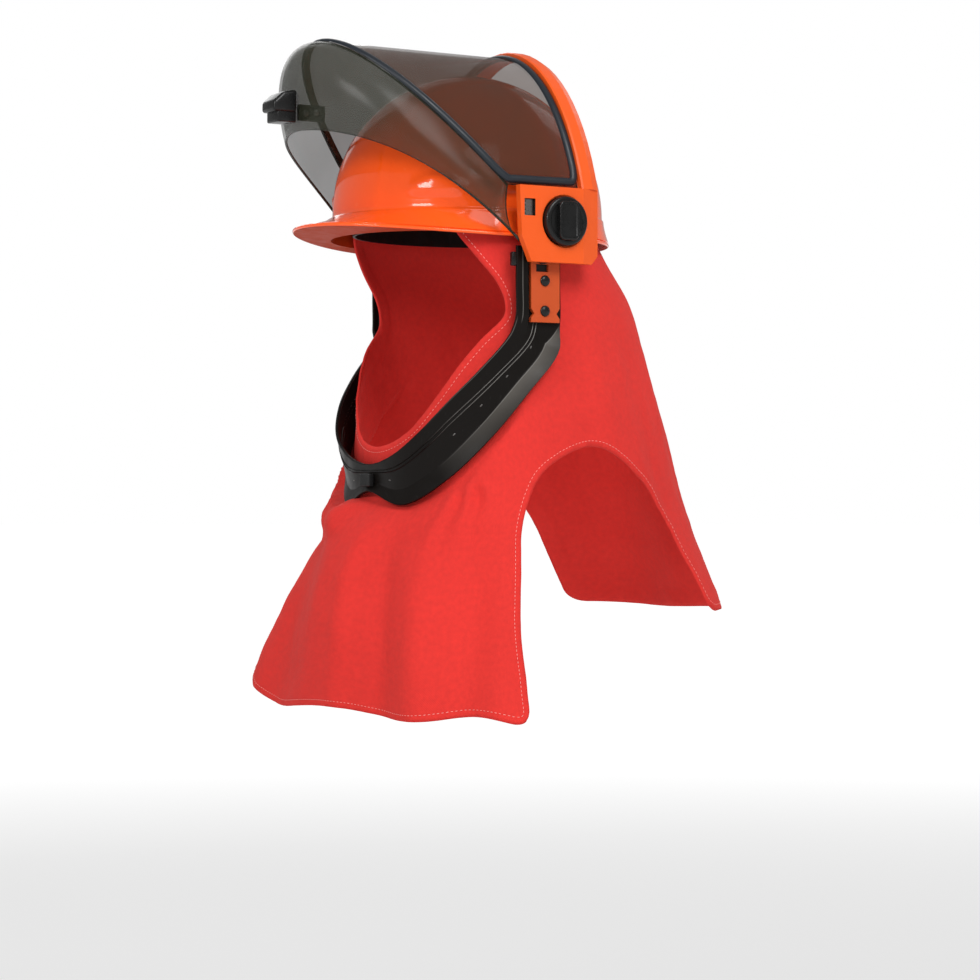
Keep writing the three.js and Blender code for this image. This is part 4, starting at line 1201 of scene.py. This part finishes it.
def hood_cloth():
    bm = bmesh.new()
    bm.loops.layers.uv.new("cut")
    bmesh.ops.create_grid(
        bm, x_segments=HOOD_STEPS["around"], y_segments=HOOD_STEPS["down"], size=0.5, calc_uvs=True,
    )
    turn_layer = bm.verts.layers.float.new("turn")
    level_layer = bm.verts.layers.float.new("level")
    lowest = HEM["front_z"] - HOOD_STEPS["below_hem"]
    grid = np.array([vert.co for vert in bm.verts])
    turn = grid[:, 0] * 360
    z = lowest + (grid[:, 1] + 0.5) * (HOOD_TOP - lowest)
    for vert, at, t, level in zip(bm.verts, hood_surface(turn, z), turn, z):
        vert.co = Vector(at) * MM
        vert[turn_layer] = t
        vert[level_layer] = level
    middles = [
        np.array([layer_values(face.verts, layer).mean() for face in bm.faces])
        for layer in (turn_layer, level_layer)
    ]
    outside = cut_depth(*middles) > 0
    bmesh.ops.delete(bm, geom=[face for face, gone in zip(bm.faces, outside) if gone], context="FACES")
    bmesh.ops.remove_doubles(bm, verts=bm.verts, dist=JOIN)
    edge = [vert for vert in bm.verts if on_open_edge(vert, level_layer)]
    turn, z = layer_values(edge, turn_layer), layer_values(edge, level_layer)
    most = EDGE_FIT["step"]
    for _ in range(EDGE_FIT["rounds"]):
        gap = cut_depth(turn, z)
        sideways, upwards, step = surface_slope(turn, z)
        size = np.maximum(sideways**2 + upwards**2, EDGE_FIT["least_slope"])
        turn = turn - np.clip(gap * sideways / size, -most, most) / step
        z = z - np.clip(gap * upwards / size, -most, most)
    for vert, t, level in zip(edge, turn, z):
        vert[turn_layer] = t
        vert[level_layer] = level
    draped = hood_drape(layer_values(bm.verts, turn_layer), layer_values(bm.verts, level_layer))
    for vert, at in zip(bm.verts, draped):
        vert.co = Vector(at) * MM
    bmesh.ops.recalc_face_normals(bm, faces=bm.faces)
    back = max(bm.faces, key=lambda face: face.calc_center_median().y)
    if back.normal.y < 0:
        bmesh.ops.reverse_faces(bm, faces=bm.faces)
    return bm, turn_layer, level_layer


def edge_paths(bm, turn_layer, level_layer):
    """The cloth's edges below the hat, each as arrays of turn and z in order along it."""
    left = {
        edge for edge in bm.edges
        if edge.is_boundary and all(on_open_edge(vert, level_layer) for vert in edge.verts)
    }
    paths = []
    while left:
        degree = {}
        for edge in left:
            for vert in edge.verts:
                degree[vert] = degree.get(vert, 0) + 1
        ends = sorted((vert for vert in degree if degree[vert] == 1), key=lambda vert: vert.index)
        at = ends[0] if ends else min(degree, key=lambda vert: vert.index)
        path = [at]
        while True:
            onward = sorted((edge for edge in at.link_edges if edge in left), key=lambda edge: edge.index)
            if not onward:
                break
            left.remove(onward[0])
            at = onward[0].other_vert(at)
            path.append(at)
        turn = np.degrees(np.unwrap(np.radians(layer_values(path, turn_layer))))
        paths.append((turn, layer_values(path, level_layer)))
    return paths


def sew_row(bm, turn, z, inset):
    """A row of stitches at a distance from an edge."""
    turn, z = moved_from_edge(turn, z, inset)
    points = hood_drape(turn, z)
    run = np.concatenate(([0], np.cumsum(np.linalg.norm(np.diff(points, axis=0), axis=1))))
    aside, above = 0.3, 0.5
    for at in np.arange(STITCH["pitch"], run[-1] - STITCH["pitch"], STITCH["pitch"]):
        t = np.interp([at - 1, at, at + 1], run, turn)
        level = np.interp([at - 1, at, at + 1], run, z)
        behind, on, ahead = (Vector(point) for point in hood_drape(t, level))
        across = hood_drape(t[1:2] + aside, level[1:2]) - hood_drape(t[1:2] - aside, level[1:2])
        upward = hood_drape(t[1:2], level[1:2] + above) - hood_drape(t[1:2], level[1:2] - above)
        normal = Vector(across[0]).cross(Vector(upward[0])).normalized()
        along = (ahead - behind).normalized()
        side = normal.cross(along).normalized()
        basis = Matrix((along, side, along.cross(side))).transposed().to_4x4()
        size = Matrix.Diagonal((STITCH["length"] * MM, STITCH["width"] * MM, STITCH["width"] * MM, 1))
        place = Matrix.Translation((on + normal * STITCH["lift"]) * MM)
        bmesh.ops.create_icosphere(bm, subdivisions=1, radius=0.5, matrix=place @ basis @ size)


hood, hood_turn, hood_level = hood_cloth()
seams = bmesh.new()
for path_turn, path_z in edge_paths(hood, hood_turn, hood_level):
    sew_row(seams, path_turn, path_z, STITCH["inset"])
stitches = add_piece("hood_stitches", seams, pink_thread, "red_cloth", "hood")
hem_gap = cut_depth(layer_values(hood.verts, hood_turn), layer_values(hood.verts, hood_level))
cloth_area = sum(face.calc_area() for face in hood.faces)
cloth = add_piece("hood_cloth_panel", hood, red_twill, "red_cloth", "hood", "hood_cloth", crease=60)
hem_group = cloth.vertex_groups.new(name="hem")
hem_width = HOOD_WALL["hem_width"]
for index, gap in enumerate(hem_gap):
    in_hem = 1 - smoothstep(-gap, hem_width, hem_width + HOOD_WALL["hem_step"])
    hem_group.add([index], in_hem, "REPLACE")
cloth_wall = wall_modifier(cloth, HOOD_WALL["hem"])
cloth_wall.vertex_group = "hem"
cloth_wall.thickness_vertex_group = HOOD_WALL["plain_part"]


# Stage, light and camera
def pale_floor():
    bm = bmesh.new()
    bmesh.ops.create_circle(bm, cap_ends=True, segments=96, radius=FLOOR["radius"])
    bmesh.ops.translate(bm, verts=bm.verts, vec=(0, 0, FLOOR["z"]))
    mesh = bpy.data.meshes.new("pale_floor")
    bm.to_mesh(mesh)
    bm.free()
    material, tree, shader = new_material("pale floor")
    shader.inputs["Base Color"].default_value = (0.8, 0.8, 0.8, 1)
    shader.inputs["Roughness"].default_value = 0.9
    apart = tree.nodes.new("ShaderNodeVectorMath")
    apart.operation = "LENGTH"
    tree.links.new(object_place(tree), apart.inputs[0])
    glow = spread_node(tree, apart.outputs["Value"], FLOOR["glow_from"], FLOOR["glow_to"], *FLOOR["glow"])
    tree.links.new(glow, shader.inputs["Emission Color"])
    shader.inputs["Emission Strength"].default_value = 1
    mesh.materials.append(material)
    floor = bpy.data.objects.new("pale_floor", mesh)
    bpy.context.scene.collection.objects.link(floor)


def studio_world():
    world = bpy.data.worlds.new("studio")
    world.use_nodes = True
    tree = world.node_tree
    tree.nodes["Background"].inputs["Color"].default_value = (1, 1, 1, 1)
    seen = tree.nodes.new("ShaderNodeLightPath")
    strength = spread_node(
        tree, seen.outputs["Is Camera Ray"], 0.0, 1.0, ROOM_LIGHT["on_the_part"], ROOM_LIGHT["seen"]
    )
    tree.links.new(strength, tree.nodes["Background"].inputs["Strength"])
    bpy.context.scene.world = world


def soft_light(name, azimuth, elevation, distance, size, power):
    light = bpy.data.lights.new(name, "AREA")
    light.shape = "RECTANGLE"
    light.size, light.size_y = size
    light.energy = power
    a, e = math.radians(azimuth), math.radians(elevation)
    towards = Vector((math.sin(a) * math.cos(e), -math.cos(a) * math.cos(e), math.sin(e)))
    lamp = bpy.data.objects.new(name, light)
    lamp.location = towards * distance
    lamp.rotation_euler = towards.to_track_quat("Z", "Y").to_euler()
    bpy.context.scene.collection.objects.link(lamp)


def photo_camera():
    data = bpy.data.cameras.new("camera")
    data.lens = CAMERA["lens"]
    data.sensor_width = CAMERA["sensor"]
    azimuth = math.radians(CAMERA["azimuth"])
    back = Vector((math.sin(azimuth), -math.cos(azimuth), 0))
    camera = bpy.data.objects.new("camera", data)
    camera.location = CAMERA["target"] + back * CAMERA["distance"]
    camera.rotation_euler = back.to_track_quat("Z", "Y").to_euler()
    bpy.context.scene.collection.objects.link(camera)
    bpy.context.scene.camera = camera


pale_floor()
studio_world()
for light in SOFT_LIGHTS:
    soft_light(*light)
photo_camera()
bpy.context.scene.view_settings.view_transform = "Standard"
